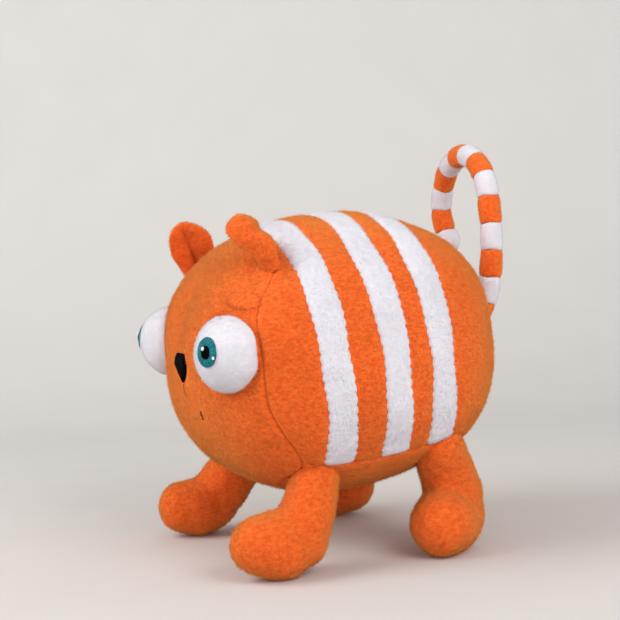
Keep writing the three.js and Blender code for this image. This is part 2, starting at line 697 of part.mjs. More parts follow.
const socketRadius = TAIL_DIAMETER / 2 / Math.sin(radians(TAIL_SOCKET_ANGLE));
const socketReach = socketRadius * Math.cos(radians(TAIL_SOCKET_ANGLE));

function tailFrame(distance) {
  const share = THREE.MathUtils.clamp(distance / tailLength, 0, 1);
  const index = Math.round(share * TAIL_FRAMES);
  const tangent = tailRoute.getTangentAt(share);
  const normal = tailFrames.normals[index].clone();
  normal.addScaledVector(tangent, -normal.dot(tangent)).normalize();
  return { place: tailRoute.getPointAt(share), tangent, normal, binormal: tangent.clone().cross(normal) };
}

function tailRing(distance, radius, bow = 0) {
  const { place, tangent, normal, binormal } = tailFrame(distance);
  const ahead = bow > 0 ? Math.sqrt(bow ** 2 - radius ** 2) : 0;
  return circle(TAIL_SIDES).map((angle) =>
    place.clone()
      .addScaledVector(tangent, ahead)
      .addScaledVector(normal, radius * Math.cos(angle))
      .addScaledVector(binormal, radius * Math.sin(angle)),
  );
}

const tailHinge = (band) => bandEnd(band) - socketReach;
const lowerHinge = { place: tailBase, axis: vec(1, 0, 0), swing: TAIL_BASE_SWING };
const hingeBands = [TAIL_LOWER_BANDS, TAIL_LOWER_BANDS + TAIL_ARCH_BANDS];
const archHinge = { place: tailFrame(tailHinge(hingeBands[0])).place };
const tipHinge = { place: tailFrame(tailHinge(hingeBands[1])).place };
const lowerGroup = limb(cat, lowerHinge);
const archGroup = limb(lowerGroup, archHinge);
const tipGroup = limb(archGroup, tipHinge);
const tailGroups = [lowerGroup, archGroup, tipGroup];

// Rings of one radius from one place on the tail to another; a hinge's end is a part of a ball about it.
function tailRings(fromBand, toBand, radius) {
  const cup = hingeBands.includes(fromBand);
  const dome = hingeBands.includes(toBand);
  const inner = steps((toBand - fromBand) * TAIL_BAND_STEPS, fromBand, toBand).slice(1, -1);
  const first = cup
    ? tailRing(tailHinge(fromBand), radius, socketRadius + SEAM_GAP)
    : tailRing(bandEnd(fromBand) + SEAM_GAP / 2, radius);
  const last = dome
    ? tailRing(tailHinge(toBand), radius, socketRadius)
    : tailRing(bandEnd(toBand) - SEAM_GAP / 2, radius);
  const rings = [first, ...inner.map((band) => tailRing(bandEnd(band), radius)), last];
  if (fromBand === 0) rings[0] = rings[0].map((point) => seat(point, tailOut, lowerHinge));
  return rings;
}

// The tip is a band that closes in a round end
function tailTip(radius, inset) {
  const from = TAIL_BANDS - 1;
  const start = bandEnd(from) + SEAM_GAP / 2;
  const end = bandEnd(TAIL_BANDS) - inset;
  const shoulder = end - radius;
  const round = steps(2, 0, Math.PI / 2).map((angle) =>
    tailRing(shoulder + radius * Math.sin(angle), radius * Math.cos(angle)),
  );
  return [tailRing(start, radius), ...round];
}

const tailRadius = TAIL_DIAMETER / 2;
for (let band = 0; band < TAIL_BANDS; band += 1) {
  const group = tailGroups[hingeBands.filter((limit) => band >= limit).length];
  const tip = band === TAIL_BANDS - 1;
  const skin = (inset) => {
    const radius = tailRadius - inset;
    return tip ? tailTip(radius, inset) : tailRings(band, band + 1, radius);
  };
  const geometry = shell(skin(0), skin(TAIL_FLEECE), true);
  const name = `tail_band_${String(band + 1).padStart(2, '0')}`;
  addToLimb(group, name, geometry, band % 2 === 0 ? orangeFleece() : whiteFleece());
}

function ringMiddle(ring) {
  const sum = ring.slice(1).reduce((total, p) => total.add(p), vec(0, 0, 0));
  return sum.divideScalar(ring.length - 1);
}

// The middle of a hinge's cup or ball, a given way ahead of the hinge
function socketPoint(band, ahead) {
  const { place, tangent } = tailFrame(tailHinge(band));
  return place.addScaledVector(tangent, ahead);
}

const wireEnds = [0, ...hingeBands, TAIL_BANDS - 1];
['tail_wire_lower', 'tail_wire_arch', 'tail_wire_tip'].forEach((name, index) => {
  const [from, to] = [wireEnds[index], wireEnds[index + 1]];
  const rings = tailRings(from, to, tailRadius - TAIL_FLEECE - SEAM_GAP);
  const cup = hingeBands.includes(from);
  const ball = hingeBands.includes(to);
  const start = cup ? socketPoint(from, socketRadius + SEAM_GAP) : ringMiddle(rings[0]);
  const end = ball ? socketPoint(to, socketRadius) : ringMiddle(rings[rings.length - 1]);
  addToLimb(tailGroups[index], name, ringSolid(start, rings, end), wrappedWire());
});

// The part's origin is the middle of its box on the floor
const box = new THREE.Box3().setFromObject(cat, true);
const middle = box.getCenter(vec(0, 0, 0));
cat.position.set(-middle.x, -middle.y, -box.min.z);
const part = new THREE.Group();
part.add(cat);

export default part;
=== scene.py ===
"""A cube plush cat in orange and white fleece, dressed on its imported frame."""
import json
import math

import bmesh
import bpy
import numpy as np
from mathutils import Matrix, Vector
from mathutils.bvhtree import BVHTree


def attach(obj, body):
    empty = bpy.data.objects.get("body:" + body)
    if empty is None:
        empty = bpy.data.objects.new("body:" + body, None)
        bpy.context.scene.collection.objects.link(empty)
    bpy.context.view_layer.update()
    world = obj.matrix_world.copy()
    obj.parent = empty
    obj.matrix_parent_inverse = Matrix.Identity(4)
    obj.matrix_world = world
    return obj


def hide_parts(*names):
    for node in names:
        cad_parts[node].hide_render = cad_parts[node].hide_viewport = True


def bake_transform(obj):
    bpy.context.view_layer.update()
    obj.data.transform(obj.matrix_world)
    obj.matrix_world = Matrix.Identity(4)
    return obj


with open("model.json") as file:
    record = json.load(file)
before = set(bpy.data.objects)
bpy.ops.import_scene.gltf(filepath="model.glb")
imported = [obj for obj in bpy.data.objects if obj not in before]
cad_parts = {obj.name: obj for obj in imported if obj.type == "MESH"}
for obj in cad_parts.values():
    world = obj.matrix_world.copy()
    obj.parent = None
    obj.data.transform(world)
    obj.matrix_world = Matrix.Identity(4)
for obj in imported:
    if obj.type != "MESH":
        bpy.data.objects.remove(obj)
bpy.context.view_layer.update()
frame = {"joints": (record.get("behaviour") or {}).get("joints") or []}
MM = 0.001
SIDES = {"left": 1, "right": -1}

# Body, in millimetres: a rounded cube with a domed top, tipped nose down
BODY_HALF_WIDTH = 43.9
BODY_HALF_LENGTH = 43.3
BODY_CROWN = 34.0
BODY_DEPTH = 41.9
PLAN_SQUARENESS = 2.87
CROWN_SQUARENESS = 2.13
BELLY_SQUARENESS = 2.75
BODY_CENTRE_HEIGHT = 60.5
HIPS_TO_MIDDLE = 15.93
BODY_NOSE_DOWN = math.radians(6.5)
CHIN_FULLER = 0.5

# Seams of the body: angles from the middle of the face, and round the body
FACE_SEAM_ANGLE = math.radians(47)
FACE_SEAM_CORNER = math.radians(13)
FACE_SEAM_SHARPNESS = 5
FACE_SEAM_FAINTER = 0.25
BELLY_SEAM_ANGLE = math.radians(42)
BELLY_LEFT = -BELLY_SEAM_ANGLE
BELLY_RIGHT = math.pi + BELLY_SEAM_ANGLE
RUMP_SEAM_SHALLOWER = 0.4
# How much the fleece darkens along its seams: painted shade in the seam grooves, partly the pile pressed flat
# there
SEAM_SHADE = 0.16

# Swells and dents of the body beside each sewn line: height, distance from the line and width
RELIEF = {
    "seam": [(0.1, 2.0, 1.3), (-0.7, 0.0, 0.36)],
    "stripe": [(-0.18, 0.0, 0.7), (0.08, 2.2, 1.2)],
    "eye": [(-0.5, 0.0, 0.9), (0.25, 2.4, 1.4)],
    "leg": [(-0.4, -0.6, 1.4)],
    "ear": [(-0.3, 0.0, 1.3)],
    "tail": [(-0.8, 0.0, 1.2)],
}
EAR_GATHERS = {"left": 0.5, "right": 0.1}

# Stripes
STRIPES = {"stripe_front": -15.7, "stripe_middle": 0.4, "stripe_rear": 14.3}
STRIPE_WIDTH = 8.3
STRIPE_HEIGHT = 0.8
STRIPE_BOW = 3.4
STRIPE_END_GAP = -0.2
STRIPE_PRESSED_IN = 0.3
SCALLOP_LENGTH = 2.7
SCALLOP_DEPTH = 0.45

# Eyes and their embroidery; an eye's edge has a corner and a dent: height, angle and sharpness
EYE_OUT = 26.9
EYE_UP = {"left": 2.6, "right": 4.1}
EYE_RADIUS = 10.3
EYE_BULGE = 7.6
EYE_FULLNESS = 0.46
EYE_EDGE = [(0.055, 0.45, 18), (-0.03, -0.08, 40)]
IRIS_PLACE = (0.2, 1.2)
IRIS_SIZE = (6.7, 7.7)
IRIS_STITCHES = 76
PUPIL_PLACE = (0.4, 1.2)
PUPIL_SIZE = (2.7, 3.2)
GLINTS = {"upper": (-0.35, 0.9, 0.75, 0.8), "lower": (2.5, -1.5, 0.6, 0.55)}
EYE_THREAD = 0.34

# Nose, mouth and brows
NOSE_SIZE = (7.5, 8.1)
NOSE_UP = -1.6
NOSE_OUT = 2.3
NOSE_THREAD = 0.55
NOSE_SHOULDER = 0.34
LINE_THREAD = {"philtrum": 0.32, "left": 0.4, "right": 0.26}
PHILTRUM = (-5.6, -10.0)
PHILTRUM_OUT = 1.6
MOUTH_TOP = (10.2, -12.9)
MOUTH_LOW = (9.9, -14.8)
MOUTH_KNOT = (10.0, -15.5)
BROW_PLACE = (28.6, 15.6)
BROW_SIZE = (11.0, 5.0)
BROW_TILT = math.radians(12)
BROW_HEIGHT = 0.6
BROW_THREAD = 0.28

# Ears
EAR_WIDTH = 12.8
EAR_HEIGHT = 17.5
EAR_RIM = EAR_WIDTH / 2.6
EAR_SINK = 0.8
EAR_SEATED = 0.7
EAR_BASE_SHARE = 0.6
EAR_WIDEST = 0.6
EAR_FOLD = 6.0
EAR_FOLD_AHEAD = 2.5
EAR_FOLD_ROUNDING = 0.3
EAR_THICKNESS = 4.6
EAR_CREASE = 1.0
EAR_SPLAY = math.radians(-66)
EAR_LEAN = math.radians(25)
EAR_BENDS_OVER = 6.0
# How each ear is crumpled: its rear waist and shoulder, its front edge cut back, the base set back, the spine
# fuller, and how far the rear half reaches ahead at the base, which leaves a hollow
EAR_SHAPES = {
    "left": dict(waist=0.38, shoulder=0.0, front=0.86, cut=0.75, back=0.3, spine=1.6, hollow=4.0),
    "right": dict(waist=0.0, shoulder=0.16, front=0.92, cut=0.0, back=0.0, spine=0.0, hollow=0.0),
}

# Legs: where each foot stands from the middle of the body, and how far it turns out
FOOT_LENGTH = 30.0
FOOT_HEIGHT = 18.2
FOOT_FULLNESS = 9.0
FOOT_BOTTOM = -0.6
SOLE_CUT = 0.5
TOE_BACK = 0.8
HEEL_SLIMMER = 0.2
HEEL_UP = 0.5
ANKLE_UP = 5.0
LEG_SEATED = 1.1
LEG_BENDS_OVER = 9.0
FOOT_SEAM = 0.4
LEGS = {
    "front_left": dict(side=1, out=30.4, back=-27.6, turn=4, heel=5.0, ankle_back=1.8, toe=7.8, toe_up=0.7,
                       hip=6.3, ankle=7.4, hip_ahead=0.8, seam_slant=0.0),
    "front_right": dict(side=-1, out=32.4, back=-27.6, turn=10, heel=2.5, ankle_back=3.2, toe=7.8, toe_up=0.2,
                        hip=7.2, ankle=8.1, hip_ahead=0.0, seam_slant=0.0),
    "rear_left": dict(side=1, out=29.2, back=21.8, turn=45, heel=7.0, ankle_back=1.4, toe=8.9, toe_up=0.1,
                      hip=6.9, ankle=8.3, hip_ahead=0.0, seam_slant=0.7),
    "rear_right": dict(side=-1, out=36.0, back=16.0, turn=30, heel=6.0, ankle_back=0.8, toe=8.3, toe_up=0.3,
                       hip=7.2, ankle=8.1, hip_ahead=0.0, seam_slant=0.0),
}

# Tail
TAIL_RADIUS = 3.7
TAIL_SLIMMER = 0.4
TAIL_BANDS = 14
TAIL_FIRST_BAND = 12.2
TAIL_STANDING_BAND = 8.0
TAIL_STANDING_BANDS = 5
TAIL_ROOT = 4.8
TAIL_ELBOW = (1.2, 9.2, 3.2)
TAIL_UPRIGHT_FROM = (4.0, 11.5, 18.0)
TAIL_ARCH_FOOT = (4.0, 11.5, 33.0)
TAIL_ARCH_RADIUS = 17.5
TAIL_ARCH_TURN = math.radians(5)
TAIL_TIP_END = (2.0, 2.2, -12.4)
TAIL_TIP_FULLER = 0.35
TAIL_BAND_GAP = 0.04
TAIL_WIRES = {2: "tail_wire_lower", 7: "tail_wire_arch", 12: "tail_wire_tip"}

# Nap of the fleece: fibres for each square millimetre, their length, width and tufts
NAP_DENSITY = 9.0
NAP_LENGTH = 0.6
NAP_WIDTH = 0.15
NAP_LEAN = 1.6
NAP_STRAY = 0.55
TUFT_SIZE = 0.9
TUFT_STRETCH = (1.0, 0.55, 1.1)

# Camera, fitted to the photograph's 620 x 620 frame
IMAGE_SIZE = 620
FOCAL_PIXELS = 1250.0
SENSOR = 36.0
CAMERA_FROM_BODY = (329.32, -144.91)
CAMERA_HEIGHT = 81.0
CAMERA_AZIMUTH = math.radians(66.8)
CAMERA_PITCH = math.radians(2.15)
CAMERA_ROLL = math.radians(-2.6)

# Light: a bright room with a dim ceiling, and two windows by their places and powers
WALLS = 1.52
CEILING = 0.3
WINDOWS = {"window": ((560, 110, 380), 1.9), "room_front": ((-40, -480, 400), 2.0)}
WINDOW_SIZE = 420
WINDOW_COLOUR = (1.0, 0.99, 0.98)
LIT_PLACE = (0, 0, 55)

JOINTS = {joint["name"]: joint for joint in frame["joints"]}


def hinge(name):
    return np.array(JOINTS[name]["pos_m"]) / MM


FRONT_HIPS = (hinge("front_left_leg_swing") + hinge("front_right_leg_swing")) / 2
BODY_CENTRE = np.array([FRONT_HIPS[0], FRONT_HIPS[1] + HIPS_TO_MIDDLE, BODY_CENTRE_HEIGHT])
TILT = np.array(Matrix.Rotation(BODY_NOSE_DOWN, 3, "X"))
UP = np.array([0.0, 0.0, 1.0])


def to_part(points):
    return np.asarray(points) @ TILT.T + BODY_CENTRE


def to_body(points):
    return (np.asarray(points) - BODY_CENTRE) @ TILT


def unit(vectors):
    vectors = np.asarray(vectors, float)
    return vectors / np.linalg.norm(vectors, axis=-1, keepdims=True)


def bell(distance, width):
    return np.exp(-(distance / width) ** 2)


def ramp(distance, width):
    """Rises from 0 to 1 over the width."""
    return np.clip(distance / width, 0, 1)


def lengths_along(points, power=1):
    """How far along a line each of its points is."""
    steps = np.linalg.norm(np.diff(points, axis=0), axis=1) ** power
    return np.concatenate([[0], np.cumsum(steps)])


def full_turn(count):
    return np.linspace(0, 2 * math.pi, count, endpoint=False)


# Colours and nodes

def linear(code, alpha=1.0):
    """A colour written as sRGB hex, in linear light."""
    parts = [int(code[i:i + 2], 16) / 255 for i in (0, 2, 4)]
    return [c / 12.92 if c <= 0.04045 else ((c + 0.055) / 1.055) ** 2.4 for c in parts] + [alpha]


def node(tree, kind, inputs=None, **settings):
    """Adds a node, or takes one, and fills its inputs with values, sockets or nodes' first live outputs."""
    made = tree.nodes.new(kind) if isinstance(kind, str) else kind
    for name, value in settings.items():
        setattr(made, name, value)
    for key, value in (inputs or {}).items():
        if isinstance(value, bpy.types.Node):
            value = next(socket for socket in value.outputs if socket.enabled)
        if isinstance(value, bpy.types.NodeSocket):
            tree.links.new(value, made.inputs[key])
        else:
            made.inputs[key].default_value = value
    return made


def mixed(tree, factor, first, second):
    return node(tree, "ShaderNodeMix", {"Factor": factor, 6: first, 7: second}, data_type="RGBA")


def maths(tree, operation, *values):
    return node(tree, "ShaderNodeMath", dict(enumerate(values)), operation=operation)


def vector_maths(tree, operation, *values):
    return node(tree, "ShaderNodeVectorMath", dict(enumerate(values)), operation=operation)


def noise(tree, place, scale, detail, **more):
    return node(tree, "ShaderNodeTexNoise", {"Vector": place, "Scale": scale, "Detail": detail, **more})


def attribute(tree, name):
    return node(tree, "ShaderNodeAttribute", attribute_name=name).outputs["Fac"]


def per_mm(size):
    """The scale of a pattern whose features are this many millimetres across."""
    return 1.0 / (size * MM)


def new_material(name):
    material = bpy.data.materials.new(name)
    material.use_nodes = True
    tree = material.node_tree
    place = node(tree, "ShaderNodeTexCoord").outputs["Object"]
    return material, tree, tree.nodes["Principled BSDF"], place


def fleece(name, deep, base, tip, slant, relief):
    """Brushed polyester fleece: matt, mottled by its tufts, paler at a slant, with painted shade darkening
    its seams and the roots of its pile.
    """
    material, tree, shader, place = new_material(name)
    combed = vector_maths(tree, "MULTIPLY", place, TUFT_STRETCH)
    tufts = noise(tree, combed, per_mm(TUFT_SIZE), 3.0, Roughness=0.6)
    drift = noise(tree, place, per_mm(16), 2.0)
    fine = noise(tree, place, per_mm(0.45), 2.0)
    spread = node(tree, "ShaderNodeMapRange", {"Value": tufts, "From Min": 0.36, "From Max": 0.62})
    ground = mixed(tree, spread, linear(deep), linear(base))
    # Fibres grow paler towards their tips, each by its own random amount: the darker roots are painted shade
    # deep in the pile, the random amount is tone
    paler = maths(tree, "MULTIPLY", attribute(tree, "tip"), attribute(tree, "tint"))
    pile = mixed(tree, paler, ground, linear(tip))
    shade = node(tree, "ShaderNodeMapRange",
                 {"Value": drift, "From Min": 0.3, "From Max": 0.7, "To Min": 0.93, "To Max": 1.05})
    # Painted shade along the seams, partly the pressed pile there, over a slow random drift of tone
    darker = maths(tree, "MULTIPLY_ADD", attribute(tree, "seam"), -SEAM_SHADE, shade)
    colour = node(tree, "ShaderNodeHueSaturation", {"Color": pile, "Value": darker})
    height = maths(tree, "ADD", tufts, fine)
    bump = node(tree, "ShaderNodeBump", {"Height": height, "Strength": relief, "Distance": 0.35 * MM})
    node(tree, shader, {
        "Base Color": colour, "Normal": bump, "Roughness": 0.95, "Specular IOR Level": 0.15,
        "Sheen Weight": 0.75, "Sheen Roughness": 0.6, "Sheen Tint": linear(slant)})
    return material


def thread(name, deep, base, lustre=0.25):
    """Polyester embroidery thread: a soft lustre, and each stitch a little lighter or darker."""
    material, tree, shader, place = new_material(name)
    twist = noise(tree, place, per_mm(0.3), 2.0)
    lighter = maths(tree, "MULTIPLY", attribute(tree, "tint"), twist)
    bump = node(tree, "ShaderNodeBump", {"Height": twist, "Strength": 0.3, "Distance": 0.05 * MM})
    node(tree, shader, {
        "Base Color": mixed(tree, lighter, linear(deep), linear(base)), "Normal": bump,
        "Roughness": 0.6, "Specular IOR Level": lustre})
    return material


ORANGE = fleece("orange_fleece", deep="e4541a", base="f66e2b", tip="fc9a5c", slant="ffb155", relief=0.5)
WHITE = fleece("white_fleece", deep="dbd8df", base="e1dee5", tip="e8e6eb", slant="e8e6eb", relief=0.12)
TEAL_THREAD = thread("teal_thread", "003a44", "007a86")
BLACK_THREAD = thread("black_thread", "020202", "080709", 0.02)
WHITE_THREAD = thread("white_thread", "d5d5d8", "ffffff")
BROWN_THREAD = thread("brown_thread", "2a1008", "5a2a14")
RUST_THREAD = thread("rust_thread", "8a3210", "bc5322", 0.1)
ORANGE_THREAD = thread("orange_thread", "d4521a", "ee7230")


# Meshes

def placed(name, data):
    """A new object in the scene."""
    made = bpy.data.objects.new(name, data)
    bpy.context.scene.collection.objects.link(made)
    return made


def smooth(mesh):
    mesh.polygons.foreach_set("use_smooth", [True] * len(mesh.polygons))


def outwards(mesh):
    """Joins points in the same place and turns every face outwards."""
    work = bmesh.new()
    work.from_mesh(mesh)
    bmesh.ops.remove_doubles(work, verts=work.verts, dist=1e-7)
    bmesh.ops.recalc_face_normals(work, faces=work.faces)
    work.to_mesh(mesh)
    work.free()


def mesh_object(name, points, faces, material=None, edges=()):
    """A smooth object at the origin from points in millimetres."""
    mesh = bpy.data.meshes.new(name)
    mesh.from_pydata([tuple(p) for p in np.asarray(points) * MM], list(edges), [tuple(f) for f in faces])
    mesh.update()
    if faces:
        smooth(mesh)
        outwards(mesh)
    if material:
        mesh.materials.append(material)
    return placed(name, mesh)


def vectors_of(items, name):
    flat = np.empty(len(items) * 3)
    items.foreach_get(name, flat)
    return flat.reshape(-1, 3)


def places(piece):
    """A mesh's points in millimetres."""
    return vectors_of(piece.data.vertices, "co") / MM


def set_places(piece, points):
    piece.data.vertices.foreach_set("co", (np.asarray(points) * MM).ravel())
    piece.data.update()


def normals(piece):
    return vectors_of(piece.data.vertices, "normal")


def baked(piece):
    """Turns the piece's modifiers into its plain mesh."""
    graph = bpy.context.evaluated_depsgraph_get()
    mesh = bpy.data.meshes.new_from_object(piece.evaluated_get(graph), depsgraph=graph)
    piece.modifiers.clear()
    piece.data = mesh
    return piece


def subdivided(piece, levels):
    rounding = piece.modifiers.new("rounding", "SUBSURF")
    rounding.levels = levels
    rounding.render_levels = levels
    return baked(piece)


def store(piece, name, values):
    kept = piece.data.attributes.get(name) or piece.data.attributes.new(name, "FLOAT", "POINT")
    kept.data.foreach_set("value", np.asarray(values, np.float32))


def grid_faces(rows, columns, wraps):
    """Quads of a grid of points; the columns may join up."""
    faces = []
    for start in range(0, (rows - 1) * columns, columns):
        for c in range(columns if wraps else columns - 1):
            a, b = start + c, start + (c + 1) % columns
            faces.append((a, b, b + columns, a + columns))
    return faces


def two_layers(faces, shift):
    """Faces of a grid and of a second one turned the other way, whose points follow the first's."""
    return faces + [tuple(i + shift for i in reversed(f)) for f in faces]


def slab_faces(rows, columns):
    """Faces of two grids of points, one over the other, with the rim between them."""
    shift = rows * columns
    rim = list(range(columns)) + [r * columns + columns - 1 for r in range(1, rows)]
    rim += [shift - columns + c for c in range(columns - 2, -1, -1)]
    rim += [r * columns for r in range(rows - 2, 0, -1)]
    faces = two_layers(grid_faces(rows, columns, False), shift)
    return faces + [(a, a + shift, b + shift, b) for a, b in zip(rim, rim[1:] + rim[:1])]


def dome_faces(rings, segments):
    """Faces of a pole and the rings of points round it, closed underneath."""
    faces = [(0, 1 + i, 1 + (i + 1) % segments) for i in range(segments)]
    faces += [tuple(i + 1 for i in f) for f in grid_faces(rings, segments, True)]
    return faces + [tuple(1 + (rings - 1) * segments + i for i in range(segments))]


def tube_faces(rings, segments):
    """Faces of rings of points one after another, closed at both ends."""
    ends = [tuple(start + i for i in range(segments)) for start in (0, (rings - 1) * segments)]
    return grid_faces(rings, segments, True) + ends


def bvh_of(piece):
    faces = [tuple(f.vertices) for f in piece.data.polygons]
    return BVHTree.FromPolygons([Vector(p) for p in places(piece)], faces)


def cast(rays, origins, directions):
    """Where rays leave a surface, or its nearest point where one misses, and which way it faces there."""
    spots, facing = [], []
    for origin, direction in zip(origins, directions):
        place, normal, *_ = rays.ray_cast(Vector(origin), Vector(direction))
        if place is None:
            place, normal, *_ = rays.find_nearest(Vector(origin))
        spots.append(tuple(place))
        facing.append(tuple(normal))
    return np.array(spots), np.array(facing)


def lumps(points, size, seed):
    """Smooth waves of about this size, between -1 and 1, the same on every run."""
    draw = np.random.default_rng(seed)
    total = np.zeros(len(points))
    for _ in range(7):
        direction = unit(draw.normal(size=3)) * (2 * math.pi / (size * draw.uniform(0.8, 1.4)))
        total += np.sin(points @ direction + draw.uniform(0, 2 * math.pi))
    return total / 3.5


def raise_lumps(piece, height, size, seed):
    spots = places(piece)
    set_places(piece, spots + normals(piece) * (height * lumps(spots, size, seed))[:, None])


# Cloth: padded pieces are blown up a little between their sewn lines

CLOTH_SCALE = 10.0
CLOTH_FRAMES = 20
CLOTH = dict(quality=6, mass=0.3, tension_stiffness=12, compression_stiffness=12, shear_stiffness=4,
             bending_stiffness=0.4, use_pressure=True, vertex_group_mass="sewn")


def inflate(piece, sewn, pressure, most, stretch=0.0):
    """Lets a piece's filling press its cloth out by at most this many millimetres, held where it is sewn."""
    before = places(piece)
    copy = placed(piece.name + "_cloth", piece.data.copy())
    copy.data.transform(Matrix.Scale(CLOTH_SCALE, 4))
    copy.vertex_groups.new(name="sewn").add([int(i) for i in np.flatnonzero(sewn)], 1.0, "REPLACE")
    cloth = copy.modifiers.new("cloth", "CLOTH")
    for name, value in CLOTH.items():
        setattr(cloth.settings, name, value)
    cloth.settings.uniform_pressure_force = pressure
    cloth.settings.shrink_min = -stretch
    cloth.settings.effector_weights.gravity = 0
    cloth.collision_settings.use_collision = False
    cloth.point_cache.frame_start = 1
    cloth.point_cache.frame_end = CLOTH_FRAMES
    scene = bpy.context.scene
    for number in range(1, CLOTH_FRAMES + 1):
        scene.frame_set(number)
    graph = bpy.context.evaluated_depsgraph_get()
    after = places(copy.evaluated_get(graph)) / CLOTH_SCALE
    scene.frame_set(1)
    bpy.data.objects.remove(copy)
    move = after - before
    reach = np.linalg.norm(move, axis=1, keepdims=True)
    set_places(piece, before + move * np.minimum(1.0, most / np.maximum(reach, 1e-6)))


# The body's surface, in its own frame

def measure(points):
    """1 on the body's surface, less inside it."""
    across = np.abs(points[:, 0] / BODY_HALF_WIDTH) ** PLAN_SQUARENESS
    along = np.abs(points[:, 1] / BODY_HALF_LENGTH) ** PLAN_SQUARENESS
    plan = (across + along) ** (1 / PLAN_SQUARENESS)
    top = points[:, 2] >= 0
    power = np.where(top, CROWN_SQUARENESS, BELLY_SQUARENESS)
    height = np.abs(points[:, 2]) / np.where(top, BODY_CROWN, BODY_DEPTH)
    return (plan ** power + height ** power) ** (1 / power)


def slope(points, h=0.02):
    rises = [(measure(points + step) - measure(points - step)) / (2 * h) for step in np.eye(3) * h]
    return np.stack(rises, axis=1)


def body_depth(points):
    """How far each point lies under the body's surface, in millimetres."""
    return (1 - measure(points)) / np.linalg.norm(slope(points), axis=1)


def clear_of_body(points):
    """1 where a piece stands clear of the body, fading to 0 where it is sewn on."""
    return np.clip(-body_depth(to_body(points)) / 0.8 + 0.6, 0, 1)


def on_surface(points, lift=0.0):
    surface = points / measure(points)[:, None]
    return surface + unit(slope(surface)) * lift


def face_point(out, up):
    """The point of the face at this distance to the cat's left and above the middle."""
    top = up >= 0
    power = CROWN_SQUARENESS if top else BELLY_SQUARENESS
    height = abs(up) / (BODY_CROWN if top else BODY_DEPTH)
    plan = (1 - height ** power) ** (1 / power)
    along = plan ** PLAN_SQUARENESS - abs(out / BODY_HALF_WIDTH) ** PLAN_SQUARENESS
    return np.array([out, -BODY_HALF_LENGTH * along ** (1 / PLAN_SQUARENESS), up])


def face_frame(out, up):
    """A place on the face with its sideways, upward and outward directions."""
    middle = face_point(out, up)
    outward = unit(slope(middle[None]))[0]
    side = unit(np.cross(UP, outward))
    return middle, side, np.cross(outward, side), outward


def face_seam(round_angle):
    corner = np.abs(np.sin(2 * round_angle)) ** FACE_SEAM_SHARPNESS
    return FACE_SEAM_ANGLE + FACE_SEAM_CORNER * corner


def angles(points):
    """Each point's angle from the middle of the face, and round the body from the cat's left."""
    reach = np.linalg.norm(points, axis=1)
    from_face = np.arccos(np.clip(-points[:, 1] / reach, -1, 1))
    return from_face, np.arctan2(points[:, 2], points[:, 0])


def from_underneath(around):
    """Angles round the body that run on from underneath, over the back to underneath again."""
    return np.where(around < -math.pi / 2, around + 2 * math.pi, around)


def seam_distance(points):
    """Millimetres to the nearest sewn line; the face's seam fades above the eyes and at crown and chin."""
    from_face, around = angles(points)
    reach = np.linalg.norm(points, axis=1)
    seam = face_seam(around)
    hidden = 9.0 * ramp(24.0 - np.abs(points[:, 0]), 6.0)
    hidden += FACE_SEAM_FAINTER * ramp(points[:, 2] - 4.0, 8.0)
    face = np.abs(from_face - seam) * reach + hidden
    rump = np.abs(from_face - (math.pi - seam)) * reach + RUMP_SEAM_SHALLOWER
    width = np.hypot(points[:, 0], points[:, 2])
    turns = [np.abs(np.angle(np.exp(1j * (around - edge)))) for edge in (BELLY_LEFT, BELLY_RIGHT)]
    between = (from_face > seam) & (from_face < math.pi - seam)
    belly = np.where(between, np.minimum(*turns) * width, 99.0)
    return np.minimum(np.minimum(face, rump), belly)


def stripe_bow(around):
    """How far a stripe lies further back over the top than at the sides."""
    return STRIPE_BOW * np.clip(np.sin(around), 0, 1) ** 4


def stripe_distance(points):
    """Millimetres outside the edge of the nearest stripe, below zero on a stripe."""
    around = from_underneath(angles(points)[1])
    end = STRIPE_END_GAP / BODY_HALF_WIDTH
    within = np.minimum(around - BELLY_LEFT - end, BELLY_RIGHT - end - around) * 40.0
    along = points[:, 1] - stripe_bow(around)
    edges = [np.maximum(np.abs(along - y) - STRIPE_WIDTH / 2, -within) for y in STRIPES.values()]
    return np.minimum.reduce(edges)


EYES = {side: face_frame(sign * EYE_OUT, EYE_UP[side]) for side, sign in SIDES.items()}
HIPS = {name: to_body(hinge(name + "_leg_swing")) for name in LEGS}
EAR_BASES = {side: to_body(hinge(side + "_ear_fold")) for side in SIDES}
TAIL_BASE = to_body(hinge("tail_base"))

# Where pieces are sewn on: the kind of piece, the middle and the radius
RIMS = [("eye", eye[0], EYE_RADIUS) for eye in EYES.values()]
RIMS += [("leg", hip, LEGS[name]["hip"]) for name, hip in HIPS.items()]
RIMS += [("ear", base, EAR_RIM) for base in EAR_BASES.values()]
RIMS.append(("tail", TAIL_BASE, TAIL_RADIUS))


def rim_distance(points, centre, radius):
    return np.linalg.norm(points - centre, axis=1) - radius


def sewn_distance(points):
    """Millimetres from each point to the nearest line or edge that is sewn down."""
    rims = [rim_distance(points, centre, radius) for _, centre, radius in RIMS]
    return np.minimum(seam_distance(points), np.minimum.reduce(np.abs(rims)))


def beside(line, distance):
    """How far the body stands out at this distance from a sewn line."""
    return sum(height * bell(distance - at, width) for height, at, width in RELIEF[line])


